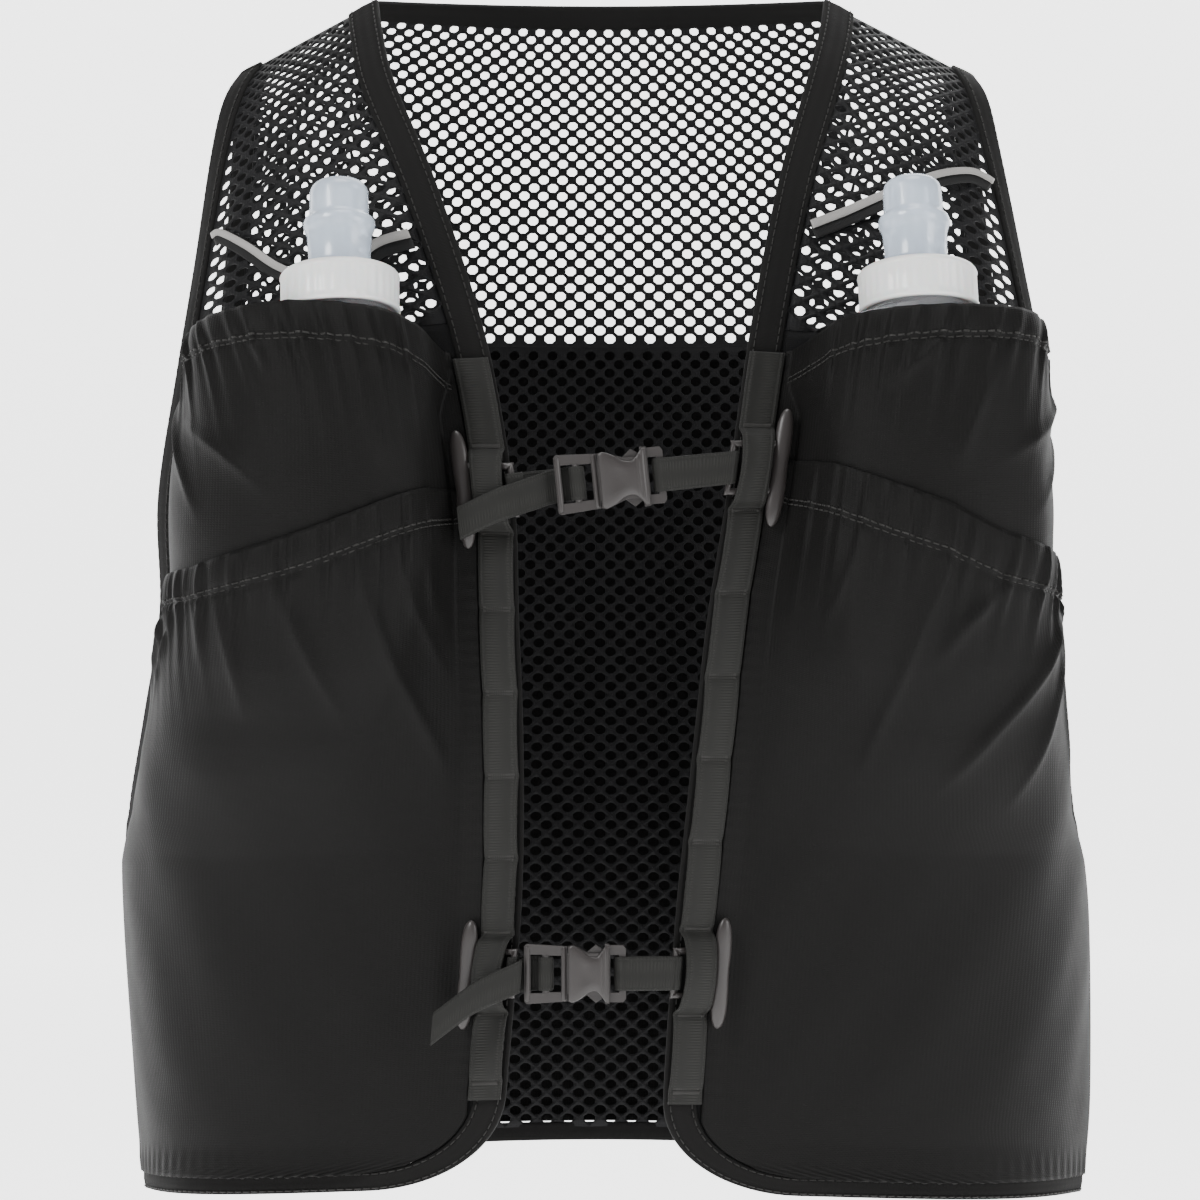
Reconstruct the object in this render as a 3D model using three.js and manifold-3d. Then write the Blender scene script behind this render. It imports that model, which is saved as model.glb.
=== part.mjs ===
// Running hydration vest with two soft flasks, open as it stands when worn.
// x runs right as seen from the front, y to the back and z up. Left and right are as seen
// from the front. The origin lies midway between the crests of the two shoulders.

import * as THREE from 'three';
import { mergeVertices } from 'three/addons/utils/BufferGeometryUtils.js';
import Module from 'manifold-3d';

const manifold = await Module();
manifold.setup();

// Driving dimensions in millimetres
const vestHeight = 470;
const halfWidth = 195;
const frontReach = 110;
const backReach = 104;
const clearance = 0.3;
const seamGap = 0.8;
const netLift = 0.6;
const clothWall = 1.0;
const pocketEdgeGap = 0.8;
const layerGap = 0.9;
const bindingThickness = 3.0;
const frontBindingWidth = 13.5;
const armholeBindingWidth = 10;
const hemBindingWidth = 8;
const neckTapeWidth = 11;
const armholeTipDrop = 16;
const cornerAcross = 53;
const cornerDown = 37;
const webbingWidth = 15;
const webbingThickness = 1.6;
const toggleLoopRise = 7.2;
const plainLoopRise = 1.6;
const pocketFlatEdge = 17;
const togglePocketEdge = 24.5;
const toggleLength = 43;
const toggleWidth = 7;
const toggleThickness = 4.6;
const toggleArmSpread = 17;
const toggleArmThickness = 1.8;
const toggleArmWidth = 2.4;
const toggleArmCorner = 1.2;
const chestStrapWidth = 13;
const chestStrapThickness = 1.0;
const buckleWidth = 23;
const buckleThickness = 6;
const tailEndLength = 15;
const bandWidth = 7.5;
const bandThickness = 1.2;
const stripeWidth = 3.4;
const stripeThickness = 0.5;
const flaskLength = 168;
const flaskWall = 1.2;
const neckRadius = 19.5;
const neckHeight = 9;
const capRadius = 23.3;
const capHeight = 17.6;
const capWall = 2;
const valveRadius = 12.2;
const valveHeight = 36.5;
const stemRadius = 5;
const hipPocketDepth = 9;
const backPocketDepth = 13;
const backPocketReach = 0.58;
const backPocketTop = 0.285;

const clothBase = netLift + clothWall + layerGap;
const pocketLayer = clothWall + clearance;
const webbingBase = clothBase + pocketLayer;
const strapLoopRadius = Math.hypot(toggleArmWidth, toggleArmThickness) / 2 + clearance + chestStrapThickness / 2;
const armLift = clothBase + 2 * pocketLayer + toggleThickness / 2;

// Sections of the front panels from crest to hem: x as shares of halfWidth, y of
// frontReach, z of vestHeight; bow is how far the cloth swells, as a share of frontReach
const sectionColumns = ['innerX', 'innerY', 'innerZ', 'outerX', 'outerY', 'outerZ', 'bow'];
const frontSections = {
  left: [
    [-0.456, 0.000, 0.001, -0.739, 0.000, -0.063, 0.00],
    [-0.443, -0.200, -0.030, -0.768, -0.109, -0.087, 0.05],
    [-0.414, -0.436, -0.077, -0.787, -0.218, -0.133, 0.10],
    [-0.322, -0.709, -0.170, -0.815, -0.345, -0.228, 0.17],
    [-0.222, -0.873, -0.300, -0.848, -0.418, -0.319, 0.22],
    [-0.168, -0.973, -0.429, -0.885, -0.455, -0.427, 0.25],
    [-0.158, -1.000, -0.528, -0.883, -0.409, -0.520, 0.26],
    [-0.150, -1.009, -0.609, -0.922, -0.273, -0.613, 0.28],
    [-0.148, -1.009, -0.691, -0.960, -0.109, -0.699, 0.30],
    [-0.154, -1.000, -0.773, -0.965, -0.036, -0.786, 0.30],
    [-0.182, -0.964, -0.913, -0.945, -0.027, -0.932, 0.30],
    [-0.198, -0.945, -0.993, -0.927, -0.027, -1.015, 0.30],
  ],
  right: [
    [0.460, 0.000, 0.001, 0.770, 0.000, -0.066, 0.00],
    [0.447, -0.200, -0.030, 0.793, -0.109, -0.087, 0.05],
    [0.416, -0.436, -0.077, 0.812, -0.218, -0.133, 0.10],
    [0.352, -0.709, -0.170, 0.851, -0.345, -0.228, 0.17],
    [0.292, -0.873, -0.300, 0.887, -0.418, -0.319, 0.22],
    [0.247, -0.973, -0.429, 0.900, -0.455, -0.427, 0.25],
    [0.209, -1.000, -0.528, 0.912, -0.409, -0.520, 0.26],
    [0.187, -1.009, -0.609, 0.936, -0.273, -0.613, 0.28],
    [0.166, -1.009, -0.691, 0.966, -0.109, -0.699, 0.30],
    [0.146, -1.000, -0.773, 0.992, -0.036, -0.786, 0.30],
    [0.123, -0.964, -0.917, 0.999, -0.027, -0.932, 0.30],
    [0.127, -0.945, -0.998, 0.982, -0.027, -1.018, 0.30],
  ],
};
const armholeRow = 8;

// Sections of the back, row for row with the front: y as shares of backReach; edgeIn is
// how far in the back's edge lies of the front's
const backColumns = ['centreY', 'centreZ', 'midX', 'midY', 'midZ', 'edgeIn', 'edgeY'];
const backSections = [
  [0.577, 0.011, 0.459, 0.008, 0.001, 1.000, 0.008],
  [0.750, -0.064, 0.497, 0.346, -0.055, 0.985, 0.115],
  [0.846, -0.130, 0.523, 0.538, -0.125, 0.975, 0.250],
  [0.933, -0.228, 0.554, 0.692, -0.226, 0.965, 0.385],
  [0.971, -0.319, 0.574, 0.760, -0.319, 0.955, 0.452],
  [1.000, -0.427, 0.590, 0.798, -0.427, 0.950, 0.471],
  [1.000, -0.520, 0.605, 0.788, -0.520, 0.965, 0.385],
  [0.990, -0.612, 0.626, 0.769, -0.612, 0.985, 0.192],
  [0.980, -0.697, 0.641, 0.760, -0.698, 1.000, -0.108],
  [0.971, -0.782, 0.646, 0.750, -0.784, 1.000, -0.030],
  [0.962, -0.921, 0.641, 0.740, -0.925, 1.000, -0.020],
  [0.952, -0.995, 0.631, 0.731, -1.003, 1.000, -0.020],
];

// Top edges of the pockets: across as a share of the panel's width, height of vestHeight
const pocketTops = {
  left: {
    bottle: [[0.00, -0.318], [0.14, -0.308], [0.27, -0.298], [0.49, -0.293], [0.68, -0.292],
      [0.86, -0.297], [1.00, -0.312]],
    lower: [[0.00, -0.414], [0.16, -0.422], [0.31, -0.437], [0.49, -0.458], [0.71, -0.481],
      [0.89, -0.490], [1.00, -0.494]],
  },
  right: {
    bottle: [[0.00, -0.313], [0.13, -0.308], [0.24, -0.302], [0.44, -0.298], [0.64, -0.295],
      [0.86, -0.294], [1.00, -0.296]],
    lower: [[0.00, -0.378], [0.17, -0.398], [0.32, -0.415], [0.52, -0.437], [0.62, -0.455],
      [0.78, -0.472], [1.00, -0.494]],
  },
};

// Folds in the pocket cloth: from and to as (across, height) like the top edges, with the
// fold's half width and height in millimetres
const foldColumns = ['fromAcross', 'fromHeight', 'toAcross', 'toHeight', 'width', 'lift'];
const pocketFolds = {
  left: {
    bottle: [
      [0.95, -0.332, 0.68, -0.450, 6, 1.8],
      [0.73, -0.380, 0.52, -0.440, 6, 1.4],
      [0.33, -0.360, 0.30, -0.425, 6, 1.2],
    ],
    lower: [
      [0.85, -0.520, 0.91, -0.610, 5, 2.4],
      [0.62, -0.512, 0.56, -0.600, 6, 1.8],
      [0.51, -0.500, 0.37, -0.610, 6, 2.0],
      [0.37, -0.480, 0.14, -0.666, 7, 2.6],
      [0.23, -0.465, 0.15, -0.550, 6, 1.8],
    ],
  },
  right: {
    bottle: [
      [0.60, -0.335, 0.54, -0.425, 6, 1.6],
      [0.93, -0.330, 0.60, -0.410, 6, 1.8],
    ],
    lower: [
      [0.51, -0.484, 0.34, -0.660, 6, 2.0],
      [0.61, -0.497, 0.50, -0.560, 6, 1.6],
      [0.81, -0.520, 0.47, -0.660, 7, 2.8],
      [0.84, -0.535, 0.60, -0.675, 6, 1.8],
    ],
  },
};

// Sections of a flask from neck to foot: down as a share of its length, half width, half
// thickness and centre height over the panel in millimetres
const flaskSections = [
  [0.00, 18.5, 18.0, 25.6],
  [0.03, 27.0, 19.5, 25.4],
  [0.08, 30.5, 20.0, 25.0],
  [0.25, 31.5, 18.5, 23.4],
  [0.50, 34.0, 16.5, 21.2],
  [0.75, 35.0, 14.5, 19.0],
  [0.92, 33.0, 11.5, 16.4],
  [1.00, 24.0, 5.0, 13.0],
];
const lowerPocketSwell = [[1.20, 34.0, 6.0, 10.0], [1.50, 34.0, 5.0, 6.0], [1.90, 34.0, 0.8, 2.4]];
const pocketFootShare = 1.06;
const pocketEase = 1.8;
const footEase = 2;
const flaskPlaces = {
  left: { topAcross: 0.395, bottomAcross: 0.50, topHeight: -0.293 },
  right: { topAcross: 0.47, bottomAcross: 0.56, topHeight: -0.291 },
};

// Bar tacks that sew down the loops of the webbing, as shares of vestHeight, with its ends
const webbingPlaces = {
  left: {
    top: -0.314,
    bottom: -0.921,
    tacks: [-0.389, -0.456, -0.519, -0.587, -0.655, -0.722, -0.785, -0.849, -0.905],
  },
  right: {
    top: -0.309,
    bottom: -0.924,
    tacks: [-0.372, -0.437, -0.505, -0.573, -0.640, -0.708, -0.781, -0.849, -0.912],
  },
};
const strapLoops = { upper: { left: 0, right: 0 }, lower: { left: 6, right: 6 } };

// Route of the elastic band over each shoulder: across and height as in the pocket tops
const bandRoutes = {
  left: [[0.87, -0.208], [0.82, -0.206], [0.69, -0.219], [0.58, -0.237], [0.48, -0.247], [0.38, -0.241],
    [0.26, -0.219], [0.145, -0.210]],
  right: [[0.142, -0.203], [0.27, -0.190], [0.46, -0.170], [0.60, -0.159], [0.74, -0.155], [0.83, -0.159],
    [0.865, -0.162]],
};

// Where each buckle starts along its chest strap, its length and its tail's drop and reach
const chestStraps = {
  upper: { buckleStart: 16.5, buckleLength: 42, tailReach: -7, tailDrop: -5.6, tailSlope: 0.35 },
  lower: { buckleStart: 4.4, buckleLength: 39, tailReach: -14, tailDrop: -9, tailSlope: 0.8 },
};

const looks = {
  net: { color: 0x171719, roughness: 0.85, metalness: 0 },
  binding: { color: 0x242321, roughness: 0.7, metalness: 0 },
  pocket: { color: 0x1d1c1c, roughness: 0.8, metalness: 0 },
  webbing: { color: 0x34342f, roughness: 0.75, metalness: 0 },
  plastic: { color: 0x4c4643, roughness: 0.5, metalness: 0 },
  elastic: { color: 0x151515, roughness: 0.8, metalness: 0 },
  reflective: { color: 0xa39f9a, roughness: 0.45, metalness: 0 },
  cap: { color: 0xd8d8d5, roughness: 0.4, metalness: 0 },
  valve: { color: 0xbcc8d6, roughness: 0.3, metalness: 0 },
  film: { color: 0xc4cad2, roughness: 0.25, metalness: 0 },
};

const vest = new THREE.Group();
vest.name = 'running_hydration_vest';

// Row i of a table as an object with named columns
function namedRows(columns, rows) {
  return rows.map((row) => Object.fromEntries(columns.map((name, k) => [name, row[k]])));
}

// Smooth value of one column between table rows
function alongRows(rows, name, v) {
  const i = THREE.MathUtils.clamp(Math.floor(v), 0, rows.length - 2);
  const f = v - i;
  const value = (k) => rows[THREE.MathUtils.clamp(k, 0, rows.length - 1)][name];
  const [p, q, r, s] = [value(i - 1), value(i), value(i + 1), value(i + 2)];
  return q + 0.5 * f * (r - p + f * (2 * p - 5 * q + 4 * r - s + f * (3 * (q - r) + s - p)));
}

// Straight-line value of y at x in a table of pairs
function between(pairs, x) {
  const last = pairs.length - 1;
  if (x <= pairs[0][0]) return pairs[0][1];
  if (x >= pairs[last][0]) return pairs[last][1];
  const k = pairs.findIndex((pair) => pair[0] > x);
  const [[x0, y0], [x1, y1]] = [pairs[k - 1], pairs[k]];
  return y0 + ((y1 - y0) * (x - x0)) / (x1 - x0);
}

// Closed body from numbered corners and faces, turned outward and freed of empty faces
function closedBody(points, faces) {
  const geometry = new THREE.BufferGeometry();
  geometry.setAttribute('position', new THREE.Float32BufferAttribute(points.flatMap((p) => p.toArray()), 3));
  geometry.setIndex(faces.flat());
  return tidyBody(geometry);
}

function tidyBody(source) {
  const bare = source.clone();
  bare.deleteAttribute('normal');
  bare.deleteAttribute('uv');
  const geometry = mergeVertices(bare, 1e-3);
  const corner = (k) => new THREE.Vector3().fromBufferAttribute(geometry.attributes.position, k);
  const old = Array.from(geometry.index.array);
  const kept = [];
  let volume = 0;
  for (let k = 0; k < old.length; k += 3) {
    const [a, b, c] = old.slice(k, k + 3);
    if (a !== b && b !== c && c !== a) {
      kept.push([a, b, c]);
      volume += corner(a).dot(corner(b).cross(corner(c)));
    }
  }
  geometry.setIndex(kept.flatMap(([a, b, c]) => (volume < 0 ? [a, c, b] : [a, b, c])));
  return geometry;
}

function addPiece(name, geometry, look) {
  const mesh = new THREE.Mesh(geometry, new THREE.MeshStandardMaterial(looks[look]));
  mesh.geometry.computeVertexNormals();
  mesh.name = name;
  vest.add(mesh);
}

// Sheet with two faces over a grid; point(u, v, face) gives a corner, and cells that
// hasGap picks are cut through with a diamond
function sheetBody(columnStops, rowStops, point, hasGap = () => false) {
  const [columns, rows] = [columnStops.length - 1, rowStops.length - 1];
  const points = [];
  const faces = [];
  const add = (p) => points.push(p) - 1;
  const grid = [0, 1].map((face) => rowStops.map((v) => columnStops.map((u) => add(point(u, v, face)))));
  const quad = (a, b, c, d) => faces.push([a, b, c], [a, c, d]);
  for (let j = 0; j < rows; j += 1) {
    for (let i = 0; i < columns; i += 1) {
      const corners = (face) => {
        const g = grid[face];
        return [g[j][i], g[j][i + 1], g[j + 1][i + 1], g[j + 1][i]];
      };
      if (!hasGap(i, j)) {
        const [a, b, c, d] = corners(0);
        quad(...corners(1));
        quad(a, d, c, b);
        continue;
      }
      const [u0, u1, v0, v1] = [columnStops[i], columnStops[i + 1], rowStops[j], rowStops[j + 1]];
      const [um, vm, reach] = [(u0 + u1) / 2, (v0 + v1) / 2, 0.39];
      const tips = [[um, vm - reach * (v1 - v0)], [um + reach * (u1 - u0), vm],
        [um, vm + reach * (v1 - v0)], [um - reach * (u1 - u0), vm]];
      const hole = [0, 1].map((face) => tips.map(([u, v]) => add(point(u, v, face))));
      for (let k = 0; k < 4; k += 1) {
        const n = (k + 1) % 4;
        const [low, high] = [corners(0), corners(1)];
        faces.push([high[k], high[n], hole[1][k]], [high[n], hole[1][n], hole[1][k]]);
        faces.push([low[n], low[k], hole[0][k]], [low[n], hole[0][k], hole[0][n]]);
        quad(hole[1][k], hole[1][n], hole[0][n], hole[0][k]);
      }
    }
  }
  const [inner, outer] = grid;
  for (let i = 0; i < columns; i += 1) {
    quad(inner[0][i], inner[0][i + 1], outer[0][i + 1], outer[0][i]);
    quad(inner[rows][i + 1], inner[rows][i], outer[rows][i], outer[rows][i + 1]);
  }
  for (let j = 0; j < rows; j += 1) {
    quad(inner[j + 1][0], inner[j][0], outer[j][0], outer[j + 1][0]);
    quad(inner[j][columns], inner[j + 1][columns], outer[j + 1][columns], outer[j][columns]);
  }
  return closedBody(points, faces);
}

// Body through a row of equal-sided sections, capped at its ends or closed in a ring
function sectionBody(sections, ring = false) {
  const sides = sections[0].length;
  const points = sections.flat();
  const faces = [];
  const spans = ring ? sections.length : sections.length - 1;
  for (let j = 0; j < spans; j += 1) {
    for (let i = 0; i < sides; i += 1) {
      const n = (i + 1) % sides;
      const next = ((j + 1) % sections.length) * sides;
      const here = j * sides;
      faces.push([here + i, here + n, next + n], [here + i, next + n, next + i]);
    }
  }
  if (!ring) {
    const last = (sections.length - 1) * sides;
    for (let i = 1; i < sides - 1; i += 1) {
      faces.push([0, i + 1, i], [last, last + i, last + i + 1]);
    }
  }
  return closedBody(points, faces);
}

function evenStops(count, from = 0, to = 1) {
  return Array.from({ length: count + 1 }, (_, k) => from + ((to - from) * k) / count);
}

// A curved panel on which a place is given by across and down in millimetres and a height
// off the inner face; down is measured along the panel's middle
class Panel {
  constructor(curve, lastRow, width, turn) {
    this.curve = curve;
    this.width = width;
    this.turn = turn;
    this.downs = [[0, 0]];
    let before = curve(0.5, 0);
    const steps = lastRow * 10;
    for (let k = 1; k <= steps; k += 1) {
      const v = (lastRow * k) / steps;
      const here = curve(0.5, v);
      this.downs.push([v, this.downs[k - 1][1] + here.distanceTo(before)]);
      before = here;
    }
    this.rows = this.downs.map(([v, down]) => [down, v]);
    this.length = this.downs[steps][1];
  }

  downOf(row) {
    return between(this.downs, row);
  }

  rowOf(down) {
    return between(this.rows, down);
  }

  widthAt(down) {
    return this.width(this.rowOf(down));
  }

  flat(across, down) {
    const row = this.rowOf(down);
    return this.curve(across / this.width(row), row);
  }

  normal(across, down) {
    const step = 0.6;
    const side = this.flat(across + step, down).sub(this.flat(across - step, down));
    const low = Math.min(down + step, this.length);
    const fall = this.flat(across, low).sub(this.flat(across, low - 2 * step));
    return side.cross(fall).multiplyScalar(this.turn).normalize();
  }

  place(across, down, height = 0) {
    return this.flat(across, down).addScaledVector(this.normal(across, down), height);
  }

  // Down at which the panel passes a height, as a share of vestHeight
  downAt(share, height) {
    let [low, high] = [0, this.length];
    for (let k = 0; k < 30; k += 1) {
      const middle = (low + high) / 2;
      if (this.flat(share * this.widthAt(middle), middle).z > height * vestHeight) low = middle;
      else high = middle;
    }
    return (low + high) / 2;
  }
}

// Front panels
function frontEdges(side) {
  const rows = namedRows(sectionColumns, frontSections[side]);
  const edge = (name, v) => new THREE.Vector3(
    alongRows(rows, `${name}X`, v) * halfWidth,
    alongRows(rows, `${name}Y`, v) * frontReach,
    alongRows(rows, `${name}Z`, v) * vestHeight,
  );
  return { rows, edge };
}

function frontPanel(side) {
  const { rows, edge } = frontEdges(side);
  const curve = (share, v) => {
    const [inner, outer] = [edge('inner', v), edge('outer', v)];
    const chord = outer.clone().sub(inner);
    const out = new THREE.Vector3(chord.y, -chord.x, 0).normalize();
    if (out.y > 0) out.negate();
    const swell = Math.sin(Math.PI * THREE.MathUtils.clamp(share, 0, 1) ** 1.5);
    const bow = alongRows(rows, 'bow', v) * frontReach;
    return inner.addScaledVector(chord, share).addScaledVector(out, bow * swell);
  };
  const width = (v) => edge('inner', v).distanceTo(edge('outer', v)) + 8 * alongRows(rows, 'bow', v);
  const panel = new Panel(curve, rows.length - 1, width, side === 'left' ? 1 : -1);
  panel.armholeEnd = panel.downOf(armholeRow);
  return panel;
}

const fronts = { left: frontPanel('left'), right: frontPanel('right') };
const frontOuterEdge = { left: frontEdges('left').edge, right: frontEdges('right').edge };

// The back panel, with across measured from its middle, negative to the left
function backPanel() {
  const rows = namedRows(backColumns, backSections);
  const edge = (side, v) => {
    const front = frontOuterEdge[side]('outer', v);
    if (v >= armholeRow) return front.add(new THREE.Vector3(0, seamGap, 0));
    const y = v === 0 ? seamGap : alongRows(rows, 'edgeY', v) * backReach;
    return new THREE.Vector3(front.x * alongRows(rows, 'edgeIn', v), y, front.z);
  };
  const middle = (side, v) => new THREE.Vector3(
    alongRows(rows, 'midX', v) * halfWidth * (side === 'left' ? -1 : 1),
    alongRows(rows, 'midY', v) * backReach,
    alongRows(rows, 'midZ', v) * vestHeight,
  );
  const curve = (share, v) => {
    const side = share < 0 ? 'left' : 'right';
    const reach = Math.abs(share);
    const mid = middle(side, v);
    if (reach > backMidShare) {
      return mid.lerp(edge(side, v), (reach - backMidShare) / (1 - backMidShare));
    }
    const f = reach / backMidShare;
    const centreY = alongRows(rows, 'centreY', v) * backReach;
    const centreZ = alongRows(rows, 'centreZ', v) * vestHeight;
    return new THREE.Vector3(mid.x * f, centreY + (mid.y - centreY) * f * f, centreZ + (mid.z - centreZ) * f * f);
  };
  const width = (v) => {
    const mid = middle('right', v);
    return Math.hypot(mid.x, mid.y - alongRows(rows, 'centreY', v) * backReach) + mid.distanceTo(edge('right', v));
  };
  return new Panel(curve, rows.length - 1, width, 1);
}

const backMidShare = 0.64;
const back = backPanel();

// Inner limit of the cloth inside the front binding, with the rounded lower corner
function clothStart(panel, down) {
  const turnDown = panel.length - cornerDown;
  const inset = frontBindingWidth + clearance;
  if (down <= turnDown) return inset;
  const fall = Math.min(1, (down - turnDown) / (cornerDown - hemBindingWidth - clearance));
  return cornerAcross - (cornerAcross - inset) * Math.sqrt(1 - fall * fall);
}

// Share of the armhole binding's width that is still beside the cloth at a place down
function armholeShare(panel, down) {
  const tipTop = panel.armholeEnd - 3;
  return 1 - THREE.MathUtils.clamp((down - tipTop) / (armholeTipDrop + 3), 0, 1);
}

function clothEnd(panel, down) {
  return panel.widthAt(down) - clearance - armholeBindingWidth * armholeShare(panel, down);
}

const clothBottom = (panel) => panel.length - hemBindingWidth - clearance;

// Downs at which the net and its bindings share their sections, so that they stay parallel
function frontStops(side) {
  const panel = fronts[side];
  const netEnd = panel.downAt(0.5, pocketTops[side].bottle[3][1]);
  const crest = [0, 0.14, 0.38, 0.68, 1].map((share) => THREE.MathUtils.lerp(clearance, netEnd, share));
  const tipEnd = panel.armholeEnd + armholeTipDrop;
  return {
    crest,
    armhole: evenStops(6, netEnd, panel.armholeEnd - 3).slice(1),
    seam: evenStops(3, tipEnd, panel.length - cornerDown),
  };
}

// Net and lining of each front
function frontNet(side) {
  const panel = fronts[side];
  const { crest, armhole, seam } = frontStops(side);
  const turn = panel.length - cornerDown;
  const arc = cornerDown - hemBindingWidth - clearance;
  const rows = [
    ...crest, ...armhole, ...seam,
    ...[0.45, 0.75, 0.93, 1].map((share) => turn + arc * share),
  ];
  return sheetBody(evenStops(5), rows, (u, down, face) => {
    const across = THREE.MathUtils.lerp(clothStart(panel, down), clothEnd(panel, down), u);
    return panel.place(across, down, netLift + face * clothWall);
  }, (i, j) => j < 4);
}

// Binding from the shoulder crest down the front edge and round the hem to the side seam
function frontBinding(side) {
  const panel = fronts[side];
  const { crest, armhole, seam } = frontStops(side);
  const turn = panel.length - cornerDown;
  const places = [
    ...[...crest, ...armhole, ...seam.slice(0, -1)].map((down) => [0, down, frontBindingWidth, down]),
    ...evenStops(7).map((share) => {
      const angle = (share * Math.PI) / 2;
      const [c, s] = [Math.cos(angle), Math.sin(angle)];
      return [cornerAcross * (1 - c), turn + cornerDown * s,
        cornerAcross - (cornerAcross - frontBindingWidth) * c, turn + (cornerDown - hemBindingWidth) * s];
    }),
    ...evenStops(7).slice(1).map((share) => {
      const across = (down) => THREE.MathUtils.lerp(cornerAcross, panel.widthAt(down) - clearance, share);
      const top = panel.length - hemBindingWidth;
      return [across(panel.length), panel.length, across(top), top];
    }),
  ];
  return sectionBody(places.map(([a, d, b, e]) => [
    panel.place(a, d, 0), panel.place(a, d, bindingThickness),
    panel.place(b, e, bindingThickness), panel.place(b, e, 0),
  ]));
}

// Binding round the armhole: down the front, round the tip at the side seam and up the back
function armholeBinding(side) {
  const front = fronts[side];
  const sign = side === 'left' ? -1 : 1;
  const section = (panel, edge, inner) => [
    panel.place(...edge, 0), panel.place(...edge, bindingThickness),
    panel.place(...inner, bindingThickness), panel.place(...inner, 0),
  ];
  const { crest: crestStops, armhole } = frontStops(side);
  const frontDowns = [...crestStops, ...armhole].slice(1);
  const sections = frontDowns.map((down) => {
    const width = front.widthAt(down);
    return section(front, [width, down], [width - armholeBindingWidth, down]);
  });
  const backEnd = back.downOf(armholeRow);
  const backDowns = [...backStops().crest, ...backStops().armhole].slice(1).reverse();
  const backSide = backDowns.map((down) => {
    const width = back.widthAt(down);
    return section(back, [sign * width, down], [sign * (width - armholeBindingWidth), down]);
  });
  const blend = (first, second) => first.map((p, k) => p.clone().add(second[k]).multiplyScalar(0.5));
  const tip = (panel, end, turn) => section(
    panel,
    [turn * panel.widthAt(end), end],
    [turn * panel.widthAt(end + armholeTipDrop), end + armholeTipDrop],
  );
  const crest = (panel, turn) => section(
    panel,
    [turn * panel.widthAt(0), clearance],
    [turn * (panel.widthAt(0) - armholeBindingWidth), clearance],
  );
  sections.push(blend(tip(front, front.armholeEnd, 1), tip(back, backEnd, sign)));
  sections.push(...backSide);
  sections.push(blend(crest(back, sign), crest(front, 1)));
  return sectionBody(sections, true);
}

// Down from the armhole tip the back's cloth follows its side seam
function backClothReach(down) {
  const tipTop = back.downOf(armholeRow) - 3;
  const beside = 1 - THREE.MathUtils.clamp((down - tipTop) / (armholeTipDrop + 3), 0, 1);
  return back.widthAt(down) - clearance - armholeBindingWidth * beside;
}

function backStops() {
  const netEnd = back.downAt(0, -backPocketTop);
  const backEnd = back.downOf(armholeRow);
  return {
    crest: [0, 0.14, 0.4, 0.7, 1].map((share) => THREE.MathUtils.lerp(clearance, netEnd, share)),
    armhole: evenStops(4, netEnd, backEnd - 3).slice(1),
    seam: evenStops(2, backEnd + armholeTipDrop, back.length - hemBindingWidth - clearance),
  };
}

// Columns of the back, shared by the net and the neck tape; the cloth starts below the
// tape and, past the tape's ends, at the crest
const tapeShares = evenStops(8, -backMidShare, backMidShare);
const pastTape = backMidShare + 0.02;

function backAcross(share, down) {
  const width = back.widthAt(down);
  const reach = Math.abs(share);
  if (reach <= backMidShare) return share * width;
  const past = (reach - backMidShare) / (1 - backMidShare);
  return Math.sign(share) * THREE.MathUtils.lerp(backMidShare * width, backClothReach(down), past);
}

function backNet() {
  const { crest, armhole, seam } = backStops();
  const netEnd = crest[crest.length - 1];
  const rows = [...crest, ...armhole, ...seam];
  const columns = [-1, -0.83, -pastTape, ...tapeShares, pastTape, 0.83, 1];
  const narrow = [2, columns.length - 4];
  return sheetBody(columns, rows, (u, row, face) => {
    const top = Math.abs(u) > backMidShare + 0.01 ? clearance : neckTapeWidth + clearance;
    const down = row <= netEnd ? THREE.MathUtils.mapLinear(row, clearance, netEnd, top, netEnd) : row;
    return back.place(backAcross(u, down), down, netLift + face * clothWall);
  }, (i, j) => j < 4 && !narrow.includes(i));
}

function neckTape() {
  const end = (share) => share - (Math.abs(share) < backMidShare ? 0 : Math.sign(share) * 0.003);
  return sectionBody(tapeShares.map((share) => {
    const [top, low] = [clearance, neckTapeWidth];
    const [a, b] = [end(share) * back.widthAt(top), end(share) * back.widthAt(low)];
    return [back.place(a, top, 0), back.place(a, top, bindingThickness),
      back.place(b, low, bindingThickness), back.place(b, low, 0)];
  }));
}

function backHem() {
  const top = back.length - hemBindingWidth;
  const [upper, lower] = [back.widthAt(top) - clearance, back.widthAt(back.length) - clearance];
  return sectionBody(evenStops(18, -1, 1).map((share) => [
    back.place(share * lower, back.length, 0), back.place(share * lower, back.length, bindingThickness),
    back.place(share * upper, top, bindingThickness), back.place(share * upper, top, 0),
  ]));
}

// Back pocket: a full width sheet that stands off the net below its gathered top edge
function backPocket() {
  const top = back.downAt(0, -backPocketTop);
  const bottom = back.length - hemBindingWidth - clearance;
  return sheetBody(evenStops(12, -1, 1), evenStops(7), (u, v, face) => {
    const down = THREE.MathUtils.lerp(top, bottom, v);
    const across = u * backPocketReach * back.widthAt(down);
    const swell = (1 - u * u) * Math.sqrt(Math.max(0, Math.sin(Math.PI * (0.12 + 0.88 * v))));
    const gather = 0.7 * (1 - v) ** 3 * Math.sin(6 * Math.PI * u) * (1 - u * u);
    return back.place(across, down, clothBase + backPocketDepth * swell + gather + face * clothWall);
  });
}

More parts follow.
